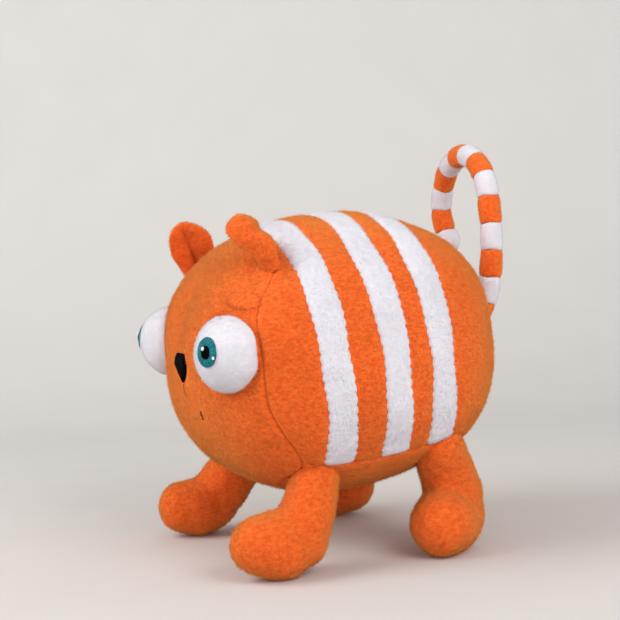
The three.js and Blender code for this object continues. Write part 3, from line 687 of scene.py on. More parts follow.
def body_relief(points):
    """How far the sewn body stands out from its blown-up shape at each point."""
    stripe = stripe_distance(points)
    relief = beside("seam", seam_distance(points)) + beside("stripe", stripe)
    relief -= STRIPE_PRESSED_IN / (1 + np.exp(stripe / 0.25))
    for line, centre, radius in RIMS:
        relief += beside(line, rim_distance(points, centre, radius))
    for side, base in EAR_BASES.items():
        spokes = np.arctan2(points[:, 2] - base[2], points[:, 0] - base[0])
        puckers = bell(rim_distance(points, base, EAR_RIM) - 2.5, 3.0) * np.cos(7 * spokes) ** 6
        relief -= EAR_GATHERS[side] * puckers
    chin = bell(points[:, 2] + 17.0, 13.0) * bell(points[:, 0] + 14.0, 24.0)
    chin *= ramp(-points[:, 1] - 25.0, 10.0)
    return relief + CHIN_FULLER * chin + 0.22 * lumps(points, 17.0, 3) + 0.1 * lumps(points, 6.0, 4)


def spaced(count, crowded):
    """Steps from 0 to 1 that crowd towards 1."""
    share = np.linspace(0, 1, count)
    return crowded * share + (1 - crowded) * np.sin(share * math.pi / 2)


def spaced_both(count, crowded):
    """Steps from 0 to 1 that crowd towards both ends."""
    share = np.linspace(0, 1, count)
    return crowded * share + (1 - crowded) * (1 - np.cos(share * math.pi)) / 2


FACE_ROWS = 52
MIDDLE_ROWS = 92
SADDLE_COLUMNS = 190
BELLY_COLUMNS = 62
CLOTH_CUTS = 21
CLOTH_INSET = 0.45
CLOTH_SEWN_WITHIN = 2.2


def blown_body():
    """The body's cloth, held at its sewn lines and pressed out between them, as something to cast rays at."""
    work = bmesh.new()
    bmesh.ops.create_cube(work, size=2)
    bmesh.ops.subdivide_edges(work, edges=work.edges, cuts=CLOTH_CUTS, use_grid_fill=True)
    corners = np.array([v.co for v in work.verts])
    faces = [[v.index for v in f.verts] for f in work.faces]
    work.free()
    piece = mesh_object("body_cloth", on_surface(np.tan(corners * math.pi / 4), -CLOTH_INSET), faces)
    sewn = sewn_distance(places(piece)) < CLOTH_SEWN_WITHIN
    inflate(piece, sewn, pressure=3.8, most=1.1, stretch=0.01)
    rays = bvh_of(subdivided(piece, levels=2))
    bpy.data.objects.remove(piece)
    return rays


def body_fleece():
    """The body's cover, with rows and columns that crowd at its seams."""
    face = spaced(FACE_ROWS, crowded=0.3)
    middle = spaced_both(MIDDLE_ROWS, crowded=0.35)
    saddle = BELLY_LEFT + (BELLY_RIGHT - BELLY_LEFT) * spaced_both(SADDLE_COLUMNS, 0.5)
    belly = BELLY_RIGHT + (2 * math.pi + BELLY_LEFT - BELLY_RIGHT) * spaced_both(BELLY_COLUMNS, 0.5)
    around = np.concatenate([saddle[:-1], belly[:-1]])
    seam = face_seam(around)
    rows = [seam * t for t in face]
    rows += [seam + (math.pi - 2 * seam) * t for t in middle[1:]]
    rows += [math.pi - seam * (1 - t) for t in 1 - face[::-1][1:]]
    from_face = np.array(rows)
    sine = np.sin(from_face)
    directions = np.stack([sine * np.cos(around), -np.cos(from_face), sine * np.sin(around)], axis=-1)
    directions = directions.reshape(-1, 3)
    plain = on_surface(directions)
    blown, _ = cast(blown_body(), np.zeros_like(plain), directions)
    shaped = blown + unit(slope(plain)) * body_relief(plain)[:, None]
    piece = mesh_object("body_fleece", to_part(shaped), grid_faces(len(rows), len(around), True), ORANGE)
    ground = to_body(places(piece))
    seam = seam_distance(ground)
    # Painted shade along the body's seam grooves, where the pile is also pressed
    store(piece, "seam", bell(seam, 0.4))
    clear = np.minimum(stripe_distance(ground) / 0.6 + 0.3, (seam - 0.2) / 0.6)
    for eye in EYES.values():
        clear = np.minimum(clear, rim_distance(ground, eye[0], EYE_RADIUS - 0.8))
    nose = np.hypot((ground[:, 0] - NOSE_OUT) / NOSE_SIZE[0], (ground[:, 2] - NOSE_UP) / NOSE_SIZE[1])
    clear = np.where((nose < 0.61) & (ground[:, 1] < 0), 0, clear)
    store(piece, "nap", np.clip(clear, 0, 1))
    return piece


BODY = body_fleece()
COVER = bvh_of(BODY)


def on_cover(origins, directions):
    """Where rays in the body's frame leave the finished body, and which way its surface faces there."""
    return cast(COVER, to_part(origins), np.asarray(directions) @ TILT.T)


# Nap: short fibres that lean together in tufts

def fibre_blade():
    """One three-sided fibre, a unit high and wide, with its share of the way to the tip."""
    points = [(0.5, 0, 0), (-0.25, 0.43, 0), (-0.25, -0.43, 0), (0, 0, 1)]
    blade = mesh_object("fibre", np.array(points) / MM, [(0, 1, 3), (1, 2, 3), (2, 0, 3)])
    # The share of the way to the tip sets how pale each part of a fibre is; its darker roots are painted
    # shade in the pile
    store(blade, "tip", [0.0, 0.0, 0.0, 1.0])
    blade.hide_render = True
    return blade


def tree_with(name, sockets):
    tree = bpy.data.node_groups.new(name, "GeometryNodeTree")
    for label, kind in sockets.items():
        tree.interface.new_socket(label, in_out="INPUT", socket_type="NodeSocket" + kind)
    tree.interface.new_socket("Geometry", in_out="OUTPUT", socket_type="NodeSocketGeometry")
    return tree, node(tree, "NodeGroupInput").outputs


def random_between(tree, low, high):
    return node(tree, "FunctionNodeRandomValue", {2: low, 3: high}, data_type="FLOAT")


def finished(tree, geometry, material):
    dressed = node(tree, "GeometryNodeSetMaterial", {"Geometry": geometry, "Material": material})
    node(tree, "NodeGroupOutput", {"Geometry": dressed})
    return tree


def nap_tree():
    """Scatters fibres over a piece, each leaning with its tuft and a little astray."""
    tree, given = tree_with("fleece nap", {
        "Geometry": "Geometry", "Fibres per square metre": "Float", "Length": "Float", "Width": "Float",
        "Tuft scale": "Float", "Lean": "Float", "Seed": "Int", "Fibre": "Object", "Finish": "Material"})
    where = node(tree, "GeometryNodeInputNamedAttribute", {"Name": "nap"}, data_type="FLOAT")
    density = maths(tree, "MULTIPLY", where, given["Fibres per square metre"])
    points = node(tree, "GeometryNodeDistributePointsOnFaces",
                  {"Mesh": given["Geometry"], "Density": density, "Seed": given["Seed"]},
                  distribute_method="RANDOM")
    place = node(tree, "GeometryNodeInputPosition")
    drawn = vector_maths(tree, "MULTIPLY", place, TUFT_STRETCH)
    tufts = noise(tree, drawn, given["Tuft scale"], 1.0)
    centred = vector_maths(tree, "SUBTRACT", tufts.outputs["Color"], (0.5, 0.5, 0.5))
    strong = node(tree, "ShaderNodeVectorMath", {0: centred, "Scale": given["Lean"]}, operation="SCALE")
    stray = node(tree, "FunctionNodeRandomValue", {0: [-NAP_STRAY] * 3, 1: [NAP_STRAY] * 3},
                 data_type="FLOAT_VECTOR")
    combed = vector_maths(tree, "ADD", points.outputs["Normal"], strong)
    leaning = vector_maths(tree, "ADD", combed, stray)
    upright = node(tree, "FunctionNodeAlignRotationToVector", {"Vector": leaning}, axis="Z")
    about = node(tree, "ShaderNodeCombineXYZ", {"Z": random_between(tree, 0.0, 2 * math.pi)})
    spin = node(tree, "FunctionNodeEulerToRotation", {"Euler": about})
    turned = node(tree, "FunctionNodeRotateRotation", {"Rotation": upright, "Rotate By": spin},
                  rotation_space="LOCAL")
    rare = maths(tree, "POWER", random_between(tree, 0.0, 1.0), 4.0)
    longer = maths(tree, "MULTIPLY_ADD", rare, 1.3, 0.65)
    tall = maths(tree, "MULTIPLY", given["Length"], longer)
    size = node(tree, "ShaderNodeCombineXYZ", {"X": given["Width"], "Y": given["Width"], "Z": tall})
    blade = node(tree, "GeometryNodeObjectInfo", {"Object": given["Fibre"]}).outputs["Geometry"]
    kept = node(tree, "GeometryNodeStoreNamedAttribute",
                {"Geometry": points, "Name": "facing", "Value": combed},
                data_type="FLOAT_VECTOR", domain="POINT")
    fibres = node(tree, "GeometryNodeInstanceOnPoints",
                  {"Points": kept, "Instance": blade, "Rotation": turned, "Scale": size})
    tinted = node(tree, "GeometryNodeStoreNamedAttribute",
                  {"Geometry": fibres, "Name": "tint", "Value": random_between(tree, 0.25, 1.0)},
                  data_type="FLOAT", domain="INSTANCE")
    real = node(tree, "GeometryNodeRealizeInstances", {"Geometry": tinted})
    facing = node(tree, "GeometryNodeInputNamedAttribute", {"Name": "facing"}, data_type="FLOAT_VECTOR")
    soft = node(tree, "GeometryNodeSetMeshNormal", {"Mesh": real, "Custom Normal": facing},
                mode="FREE", domain="POINT")
    plain = node(tree, "GeometryNodeRemoveAttribute", {"Geometry": soft, "Name": "facing"})
    return finished(tree, plain, given["Finish"])


def thread_tree():
    """Lays a thread along every path."""
    tree, given = tree_with("stitches", {
        "Geometry": "Geometry", "Thread radius": "Float", "Finish": "Material"})
    paths = node(tree, "GeometryNodeMeshToCurve", {"Mesh": given["Geometry"]})
    tinted = node(tree, "GeometryNodeStoreNamedAttribute",
                  {"Geometry": paths, "Name": "tint", "Value": random_between(tree, 0.6, 2.0)},
                  data_type="FLOAT", domain="CURVE")
    section = node(tree, "GeometryNodeCurvePrimitiveCircle",
                   {"Resolution": 6, "Radius": given["Thread radius"]})
    swept = node(tree, "GeometryNodeCurveToMesh",
                 {"Curve": tinted, "Profile Curve": section, "Fill Caps": True})
    real = node(tree, "GeometryNodeRealizeInstances", {"Geometry": swept})
    return finished(tree, real, given["Finish"])


NAP_TREE = nap_tree()
THREAD_TREE = thread_tree()
FIBRE = fibre_blade()


def grown(piece, tree, values):
    """Runs a node tree on the piece with these inputs, and makes the result its plain mesh."""
    modifier = piece.modifiers.new("made", "NODES")
    modifier.node_group = tree
    sockets = {item.name: item.identifier for item in tree.interface.items_tree if item.in_out == "INPUT"}
    for name, value in values.items():
        modifier[sockets[name]] = value
    return baked(piece)


def nap(source, name, material, seed, faces=None, length=NAP_LENGTH, lean=NAP_LEAN):
    """The fibres of a piece's fleece, or of some of its faces, as a piece of their own."""
    ground = source.data.copy()
    if faces is not None:
        work = bmesh.new()
        work.from_mesh(ground)
        work.faces.ensure_lookup_table()
        bmesh.ops.delete(work, geom=[work.faces[i] for i in np.flatnonzero(~faces)], context="FACES")
        work.to_mesh(ground)
        work.free()
    pile = placed(name, ground)
    if "nap" not in ground.attributes:
        store(pile, "nap", np.ones(len(ground.vertices)))
    return grown(pile, NAP_TREE, {
        "Fibres per square metre": NAP_DENSITY / MM ** 2, "Length": length * MM, "Width": NAP_WIDTH * MM,
        "Tuft scale": per_mm(TUFT_SIZE * 1.3), "Lean": lean, "Seed": seed, "Fibre": FIBRE,
        "Finish": material})


def stitched(name, paths, diameter, material):
    """Threads of one diameter, each along its own path of points in millimetres."""
    points, edges = [], []
    for path in paths:
        first = len(points)
        points += [tuple(p) for p in path]
        edges += [(first + i, first + i + 1) for i in range(len(path) - 1)]
    piece = mesh_object(name, points, [], edges=edges)
    grown(piece, THREAD_TREE, {"Thread radius": diameter / 2 * MM, "Finish": material})
    smooth(piece.data)
    return piece


def joined(name, *pieces):
    """One object of several meshes of one material."""
    work = bmesh.new()
    for piece in pieces:
        work.from_mesh(piece.data)
    mesh = bpy.data.meshes.new(name)
    work.to_mesh(mesh)
    work.free()
    mesh.materials.append(pieces[0].data.materials[0])
    for piece in pieces:
        bpy.data.objects.remove(piece)
    return placed(name, mesh)


def settle(piece, nodes=(), bend=None):
    """Puts a finished piece on the body, or, given a bend, only bakes its place into its mesh."""
    if bend:
        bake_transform(piece)
    else:
        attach(piece, "body")
    if nodes:
        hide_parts(*nodes)


# Body nap, panel by panel

def body_naps():
    middles = to_body(vectors_of(BODY.data.polygons, "center") / MM)
    from_face, around = angles(middles)
    seam = face_seam(around)
    around = from_underneath(around)
    face = from_face < seam
    rump = from_face > math.pi - seam
    belly = ~face & ~rump & ((around < BELLY_LEFT) | (around > BELLY_RIGHT))
    saddle = ~face & ~rump & ~belly
    left = middles[:, 0] > 0
    panels = {"face": face, "rump": rump, "belly": belly,
              "saddle_left": saddle & left, "saddle_right": saddle & ~left}
    for seed, (name, faces) in enumerate(panels.items()):
        settle(nap(BODY, "body_nap_" + name, ORANGE, seed, faces))


BODY_NODES = ["face_panel", "saddle_panel", "belly_panel", "rump_panel", "body_stuffing"]
settle(BODY, BODY_NODES)
body_naps()


# Stripes

STRIPE_STEP = 0.55
STRIPE_ACROSS = 15


def round_body(along, around):
    """The finished body at places along it and angles round it, and which way it faces there."""
    nought = np.zeros_like(around)
    headings = np.stack([np.cos(around), nought, np.sin(around)], axis=1)
    return on_cover(np.stack([nought, along, nought], axis=1), headings)


def stripe(name, middle, seed):
    """A strip of fleece with scalloped edges, puffed up between them."""
    end = STRIPE_END_GAP / BODY_HALF_WIDTH
    coarse = np.linspace(BELLY_LEFT + end, BELLY_RIGHT - end, 400)
    lengths = lengths_along(round_body(middle + stripe_bow(coarse), coarse)[0])
    count = int(lengths[-1] / STRIPE_STEP)
    along = np.linspace(0, lengths[-1], count)
    around = np.interp(along, lengths, coarse)
    draw = np.random.default_rng(seed)
    halves = []
    for _ in range(2):
        phase = draw.uniform(0, math.pi)
        scallop = np.abs(np.sin(math.pi * along / SCALLOP_LENGTH + phase + 0.6 * np.sin(along / 9 + phase)))
        drift = 0.28 * np.sin(along / 7.3 + phase) + 0.18 * np.sin(along / 3.1 + 2 * phase)
        halves.append(STRIPE_WIDTH / 2 - SCALLOP_DEPTH + SCALLOP_DEPTH * scallop + drift)
    from_end = np.minimum(along, lengths[-1] - along)
    rounding = np.sqrt(np.clip(1 - (1 - ramp(from_end, 1.6)) ** 2, 0, 1)) * 0.25 + 0.75
    across = np.sin(np.linspace(-1, 1, STRIPE_ACROSS) * math.pi / 2)
    tops, unders = [], []
    for share in across:
        half = halves[0 if share < 0 else 1] * rounding
        spots, facing = round_body(middle + stripe_bow(around) + half * share, around)
        puff = STRIPE_HEIGHT * (1 - share ** 4) ** 0.5 * ramp(from_end, 0.9) ** 0.5
        puff = puff + 0.12 * lumps(spots, 5.0, seed + 20) * (1 - share ** 2)
        tops.append(spots + facing * (puff - 0.12)[:, None])
        unders.append(spots - facing * 0.35)
    faces = slab_faces(STRIPE_ACROSS, count)
    piece = mesh_object(name + "_fleece", np.concatenate(tops + unders), faces, WHITE)
    pile = np.repeat(np.clip((1.02 - np.abs(across)) / 0.06, 0.35, 1), count)
    store(piece, "nap", np.concatenate([pile, 0 * pile]))
    return piece


for number, (stripe_name, stripe_middle) in enumerate(STRIPES.items()):
    strip = stripe(stripe_name, stripe_middle, 31 + number)
    settle(strip, [stripe_name])
    settle(nap(strip, stripe_name + "_nap", WHITE, 40 + number, length=0.45, lean=0.5))


# Eyes

EYE_RINGS = 22
EYE_SEGMENTS = 72
PATCH_SEGMENTS = 32


def eye_rim(side, angle):
    """The distance from an eye's middle to its sewn edge, a little out of round."""
    turn = angle if side == "left" else math.pi - angle
    wave = 0.012 * np.cos(3 * turn + 0.7) + 0.01 * np.cos(5 * turn + 2.0)
    wave += sum(height * np.exp((np.cos(turn - at) - 1) * sharpness) for height, at, sharpness in EYE_EDGE)
    return EYE_RADIUS * (1 + wave)


def eye_point(side, u, v, lift=0.0):
    """A point of an eye's dome, by its distances sideways and upwards from the middle, raised off it."""
    middle, across, rise, outward = EYES[side]

    def dome(u, v):
        u, v = np.asarray(u, float), np.asarray(v, float)
        share = np.minimum(1.0, np.hypot(u, v) / eye_rim(side, np.arctan2(v, u)))
        height = EYE_BULGE * (1 - share ** 2) ** EYE_FULLNESS
        base = on_surface(middle + u[:, None] * across + v[:, None] * rise, -0.3)
        return base + height[:, None] * outward

    h = 0.05
    facing = unit(np.cross(dome(u + h, v) - dome(u - h, v), dome(u, v + h) - dome(u, v - h)))
    return to_part(dome(u, v) + facing * lift)


def eye_fleece(side, seed):
    turns = full_turn(EYE_SEGMENTS)
    rim = eye_rim(side, turns)
    rings = [eye_point(side, np.zeros(1), np.zeros(1))]
    for share in np.sin(np.linspace(0, 1, EYE_RINGS) * math.pi / 2)[1:]:
        reach = share * rim * 0.9995
        rings.append(eye_point(side, reach * np.cos(turns), reach * np.sin(turns)))
    faces = dome_faces(EYE_RINGS - 1, EYE_SEGMENTS)
    piece = mesh_object(f"eye_{side}_fleece", np.concatenate(rings), faces, WHITE)
    raise_lumps(piece, height=0.16, size=8.0, seed=seed)
    return piece


def ellipse_rows(width, height, spacing=0.26):
    """Upright stitches that fill an ellipse, as pairs of ends."""
    rows = []
    count = max(2, int(width / spacing))
    for u in np.linspace(-width / 2, width / 2, count + 2)[1:-1]:
        reach = height / 2 * math.sqrt(max(0.02, 1 - (2 * u / width) ** 2))
        rows.append(((u, reach), (u, -reach)))
    return rows


def iris_rays():
    """Stitches from near the pupil out to the iris's edge, as pairs of ends."""
    rays = []
    for number, turn in enumerate(full_turn(IRIS_STITCHES)):
        inner = 0.42 if number % 2 else 0.3
        outer = 1.0 - 0.03 * (number % 3)
        u, v = IRIS_SIZE[0] / 2 * math.cos(turn), IRIS_SIZE[1] / 2 * math.sin(turn)
        rays.append(((inner * u, inner * v), (outer * u, outer * v)))
    return rays


def eye_patch(side, name, ends, place, lift, size, material):
    """A patch of satin stitch on an eye, over a thin ground so that nothing shows between the threads."""
    cu, cv = SIDES[side] * place[0], place[1]
    paths = []
    for (u0, v0), (u1, v1) in ends:
        t = np.linspace(0, 1, 6)
        bow = 0.5 * EYE_THREAD * np.sin(math.pi * t)
        u = cu + u0 + (u1 - u0) * t
        v = cv + v0 + (v1 - v0) * t
        flat = eye_point(side, u, v, lift)
        paths.append(flat + (eye_point(side, u, v, lift + 1.0) - flat) * bow[:, None])
    threads = stitched(name + "_threads", paths, EYE_THREAD, material)
    turns = full_turn(PATCH_SEGMENTS)
    across, rise = size[0] / 2 * np.cos(turns), size[1] / 2 * np.sin(turns)
    rings = [eye_point(side, np.array([cu]), np.array([cv]), lift)]
    for share, height in ((0.5, lift), (0.97, lift), (1, lift - 0.35)):
        rings.append(eye_point(side, cu + share * across, cv + share * rise, height))
    ground = mesh_object(name + "_ground", np.concatenate(rings), dome_faces(3, PATCH_SEGMENTS), material)
    return joined(name, threads, ground)


def embroider_eye(side):
    iris = eye_patch(side, f"iris_{side}_embroidery", iris_rays(), IRIS_PLACE, 0.2, IRIS_SIZE, TEAL_THREAD)
    settle(iris, [f"iris_{side}"])
    pupil = eye_patch(side, f"pupil_{side}_embroidery", ellipse_rows(*PUPIL_SIZE), PUPIL_PLACE, 0.5,
                      PUPIL_SIZE, BLACK_THREAD)
    settle(pupil, [f"pupil_{side}"])
    for name, (u, v, size, lift) in GLINTS.items():
        place = (IRIS_PLACE[0] + u, IRIS_PLACE[1] + v)
        glint = eye_patch(side, f"glint_{side}_{name}_embroidery", ellipse_rows(size, size), place, lift,
                          (size, size), WHITE_THREAD)
        settle(glint, [f"glint_{side}_{name}"])


for number, eye_side in enumerate(SIDES):
    eye = eye_fleece(eye_side, 50 + number)
    settle(eye, [f"eye_{eye_side}_cover", f"eye_{eye_side}_stuffing"])
    settle(nap(eye, f"eye_{eye_side}_nap", WHITE, 52 + number, length=0.4, lean=0.5))
    embroider_eye(eye_side)


# Nose, mouth and brows

NOSE_ROWS = 14
NOSE_COLUMNS = 9
BROW_SEGMENTS = 56


def on_face(out, up, lift):
    """Points on the finished face, by their distances to the cat's left and above the middle."""
    starts = np.stack([out, np.full(len(out), -10.0), up], axis=1)
    spots, facing = on_cover(starts, np.tile([0.0, -1.0, 0.0], (len(out), 1)))
    return spots + facing * lift


def nose_half_width(drop):
    """Half the nose's width at a share of its height from the top."""
    shoulder = 0.72 + 0.28 * np.sin(ramp(drop, NOSE_SHOULDER) * math.pi / 2)
    taper = 1 - ramp(drop - NOSE_SHOULDER, 0.66) ** 1.6
    return NOSE_SIZE[0] / 2 * shoulder * taper


def nose_height(drop):
    return NOSE_UP + NOSE_SIZE[1] / 2 - drop * NOSE_SIZE[1]


def nose_embroidery():
    paths = []
    drops = np.linspace(0, 1, 60)
    for number, out in enumerate(np.arange(-3.9, 3.95, 0.4)):
        inside = drops[nose_half_width(drops) > abs(out)]
        if len(inside) < 3:
            continue
        jag = 0.25 * (number % 2)
        up = np.linspace(nose_height(inside[0]) - jag, nose_height(inside[-1]), 9)
        bow = 0.3 + 0.45 * np.sin(np.linspace(0, math.pi, 9)) ** 0.5
        paths.append(on_face(np.full(9, NOSE_OUT + out), up, bow[:, None]))
    return stitched("nose_embroidery", paths, NOSE_THREAD, BLACK_THREAD)


def nose_ground():
    """The padding under the nose's stitches."""
    over, under = [], []
    for drop in np.linspace(0.02, 0.985, NOSE_ROWS):
        half = nose_half_width(np.array([drop]))[0]
        out = NOSE_OUT + np.linspace(-half, half, NOSE_COLUMNS)
        row = on_face(out, np.full(NOSE_COLUMNS, nose_height(drop)), 0.45)
        over.append(row)
        under.append(on_face(to_body(row)[:, 0], to_body(row)[:, 2], -0.3))
    faces = slab_faces(NOSE_ROWS, NOSE_COLUMNS)
    return mesh_object("nose_ground", np.concatenate(over + under), faces, BLACK_THREAD)


settle(joined("nose_stitches", nose_embroidery(), nose_ground()), ["nose"])


def face_line(name, node_name, stops, diameter, material):
    """Threads laid on the face through the given places."""
    paths = []
    for stop in stops:
        out, up = np.array(stop, float).T
        t = np.linspace(0, len(stop) - 1, 4 * len(stop))
        steps = np.arange(len(stop))
        lift = -0.3 + 0.65 * np.sin(np.linspace(0, math.pi, len(t))) ** 0.4
        paths.append(on_face(np.interp(t, steps, out), np.interp(t, steps, up), lift[:, None]))
    settle(stitched(name, paths, diameter, material), [node_name])


face_line("philtrum_thread", "philtrum_stitch", [[(PHILTRUM_OUT, up) for up in PHILTRUM]],
          LINE_THREAD["philtrum"], RUST_THREAD)
for mouth_side, mouth_thread in (("left", BROWN_THREAD), ("right", ORANGE_THREAD)):
    stops = [(SIDES[mouth_side] * out, up) for out, up in (MOUTH_TOP, MOUTH_LOW, MOUTH_KNOT)]
    face_line(f"mouth_{mouth_side}_thread", f"mouth_stitch_{mouth_side}", [stops[:2], stops[1:]],
              LINE_THREAD[mouth_side], mouth_thread)


def brow_outline(side, share):
    turns = full_turn(BROW_SEGMENTS)
    u = BROW_SIZE[0] / 2 * np.cos(turns) * share
    v = BROW_SIZE[1] / 2 * np.sign(np.sin(turns)) * np.abs(np.sin(turns)) ** 0.8 * share
    tilt = -SIDES[side] * BROW_TILT
    u, v = u * math.cos(tilt) - v * math.sin(tilt), u * math.sin(tilt) + v * math.cos(tilt)
    middle, across, rise, _ = face_frame(SIDES[side] * BROW_PLACE[0], BROW_PLACE[1])
    return middle + u[:, None] * across + v[:, None] * rise


def brow(side):
    """A domed patch of fleece, whipped down round its edge."""
    rings = []
    domed = [(share, BROW_HEIGHT * (1 - share ** 4)) for share in (0.35, 0.65, 0.85, 0.96)]
    for share, lift in domed + [(1, -0.1), (1, -0.5)]:
        outline = brow_outline(side, share)
        spots, facing = on_cover(np.zeros_like(outline), outline)
        rings.append(spots + facing * lift)
    grid = np.concatenate([rings[0].mean(axis=0)[None]] + rings)
    patch = mesh_object(f"brow_{side}_patch", grid, dome_faces(len(rings), BROW_SEGMENTS), ORANGE)
    settle(patch, [f"brow_{side}"])
    settle(nap(patch, f"brow_{side}_nap", ORANGE, 60))
    whips = []
    for inner, outer in zip(brow_outline(side, 0.95)[::2], brow_outline(side, 1.06)[::2]):
        spots, facing = on_cover(np.zeros((2, 3)), np.stack([inner, outer]))
        lifted = spots + facing * 0.35
        whips.append(np.stack([spots[0] - facing[0] * 0.2, lifted[0], lifted[1], spots[1] - facing[1] * 0.3]))
    settle(stitched(f"brow_{side}_stitches", whips, BROW_THREAD, ORANGE_THREAD))


for brow_side in SIDES:
    brow(brow_side)


# Ears

EAR_ROWS = 15
EAR_COLUMNS = 19


def ear_share(height):
    """An ear's width at a share of its height, as a share of its full width."""
    beyond = (height - EAR_WIDEST) / (1 - EAR_WIDEST)
    low = EAR_BASE_SHARE + (1 - EAR_BASE_SHARE) * np.sin(ramp(height, EAR_WIDEST) * math.pi / 2)
    return np.where(beyond > 0, np.clip(1 - np.abs(beyond) ** 2.4, 0, 1) ** 0.5, low)


def ear_row(sign, shape, height):
    """A row across an ear: how far it lies along the hinge and ahead of it, its puff and its crease."""
    across = np.linspace(-1, 1, EAR_COLUMNS)
    share = float(ear_share(height))
    rear = np.clip(-sign * across, 0, 1)
    lobe = 1 + rear * (0.16 * bell(height - 0.38, 0.2) - shape["waist"] * bell(height - 0.63, 0.09))
    lobe += rear * shape["shoulder"] * bell(height - 0.72, 0.2)
    cut = shape["front"] * (1 - shape["cut"] * max(0.0, 1 - height / 0.85))
    trim = np.where(sign * across > 0, cut, 1.0)
    half = EAR_WIDTH / 2 * share * lobe * trim
    rounding = EAR_FOLD_ROUNDING + 1.5 * height ** 2
    brim = math.hypot(1, rounding)
    depth = EAR_FOLD * (1 - 0.45 * height ** 2)
    fold = EAR_FOLD_AHEAD - depth
    fold = fold + depth * trim * (np.hypot(across, rounding) - rounding) / (brim - rounding)
    spine = shape["spine"] * (1.4 * bell(height - 0.63, 0.07) - bell(height - 0.34, 0.24))
    fold = fold * share + spine * (1 - np.abs(across))
    fold = fold + shape["hollow"] * max(0.0, 1 - height / 0.6) * rear
    puff = EAR_THICKNESS / 2 * np.sqrt(np.clip(1 - np.abs(across) ** 2.5, 0, 1))
    puff = puff * math.sqrt(max(0.0, 1 - height ** 4))
    crease = EAR_CREASE * bell(across, 0.14) * ramp(0.62 - height, 0.3)
    return half * across, fold, puff, crease


def ear(side, seed):
    """Two layers of fleece, folded along the middle and drawn down onto the body."""
    sign, shape = SIDES[side], EAR_SHAPES[side]
    base = hinge(side + "_ear_fold")
    axis = unit(JOINTS[side + "_ear_fold"]["axis"])
    level = np.array([math.cos(EAR_SPLAY), sign * math.sin(EAR_SPLAY), 0.0])
    lean = unit(np.cross(level, UP)) * math.tan(EAR_LEAN)
    rise = unit(UP + lean - axis * axis[2])
    front = unit(np.cross(axis, rise))
    fronts, backs = [], []
    for height in np.sin(np.linspace(0, 1, EAR_ROWS) * math.pi / 2):
        along, fold, puff, crease = ear_row(sign, shape, height)
        low = base + rise * (EAR_HEIGHT * height - EAR_SINK)
        low = low - axis * (sign * shape["back"] * (1 - height) ** 2) + axis * along[:, None]
        fronts.append(low + front * (fold + puff - crease)[:, None])
        backs.append(low + front * (fold - puff)[:, None])
    middle = (np.concatenate(fronts) + np.concatenate(backs)) / 2
    seated = np.clip(1 - ((middle - base) @ rise + EAR_SINK) / 4.0, 0, 1)
    drawn = middle
    for _ in range(4):
        gap = seated * np.clip(EAR_SEATED - body_depth(to_body(drawn)), 0, 9)
        drawn = drawn - unit(slope(to_body(drawn))) @ TILT.T * gap[:, None]
    grid = np.concatenate(fronts + backs) + np.tile(drawn - middle, (2, 1))
    shift = EAR_ROWS * EAR_COLUMNS
    faces = two_layers(grid_faces(EAR_ROWS, EAR_COLUMNS, False), shift)
    faces += [(c, c + 1, c + 1 + shift, c + shift) for c in range(EAR_COLUMNS - 1)]
    piece = mesh_object(f"ear_{side}_fleece", grid, faces, ORANGE)
    points = places(piece)
    points = points + rise * np.clip(body_depth(to_body(points)) - EAR_SEATED, 0, 9)[:, None]
    set_places(piece, points)
    inflate(piece, body_depth(to_body(points)) > -1.2, pressure=4.0, most=0.9)
    subdivided(piece, levels=1)
    raise_lumps(piece, height=0.18, size=6.0, seed=seed)
    store(piece, "nap", clear_of_body(places(piece)))
    bend = dict(bodies=("body", f"ear_{side}"), start=base, end=base + rise * EAR_BENDS_OVER)
    settle(piece, [f"ear_{side}_front", f"ear_{side}_back"], bend=bend)
    settle(nap(piece, f"ear_{side}_nap", ORANGE, seed), bend=bend)


for number, ear_side in enumerate(SIDES):
    ear(ear_side, 70 + number)


# Legs

LEG_VOXEL = 1.1
LEG_SEGMENTS = 28


def tube(start, end, radii, belly=0.0, sag=0.0, rows=12):
    """A round-ended tube between two points, fuller and lower half way."""
    way = unit(end - start)
    side = unit(np.cross(way, [0.3, 0.8, 0.1]))
    turn = full_turn(LEG_SEGMENTS)
    ring = np.outer(np.cos(turn), side) + np.outer(np.sin(turn), np.cross(way, side))
    cap = np.linspace(0.02, 1.57, 5)
    stations = [(start - way * radii[0] * math.cos(a), radii[0] * math.sin(a)) for a in cap]
    for t in np.linspace(0, 1, rows)[1:-1]:
        middle = 4 * t * (1 - t)
        radius = radii[0] + (radii[1] - radii[0]) * t + belly * middle
        stations.append((start + (end - start) * t - UP * sag * middle, radius))
    stations += [(end + way * radii[1] * math.cos(a), radii[1] * math.sin(a)) for a in cap[::-1]]
    points = np.concatenate([place + ring * radius for place, radius in stations])
    return points, tube_faces(len(stations), LEG_SEGMENTS)


def remeshed(piece, voxel):
    remesh = piece.modifiers.new("remesh", "REMESH")
    remesh.mode = "VOXEL"
    remesh.voxel_size = voxel * MM
    relax = piece.modifiers.new("relax", "SMOOTH")
    relax.factor = 0.5
    relax.iterations = 16
    return baked(piece)


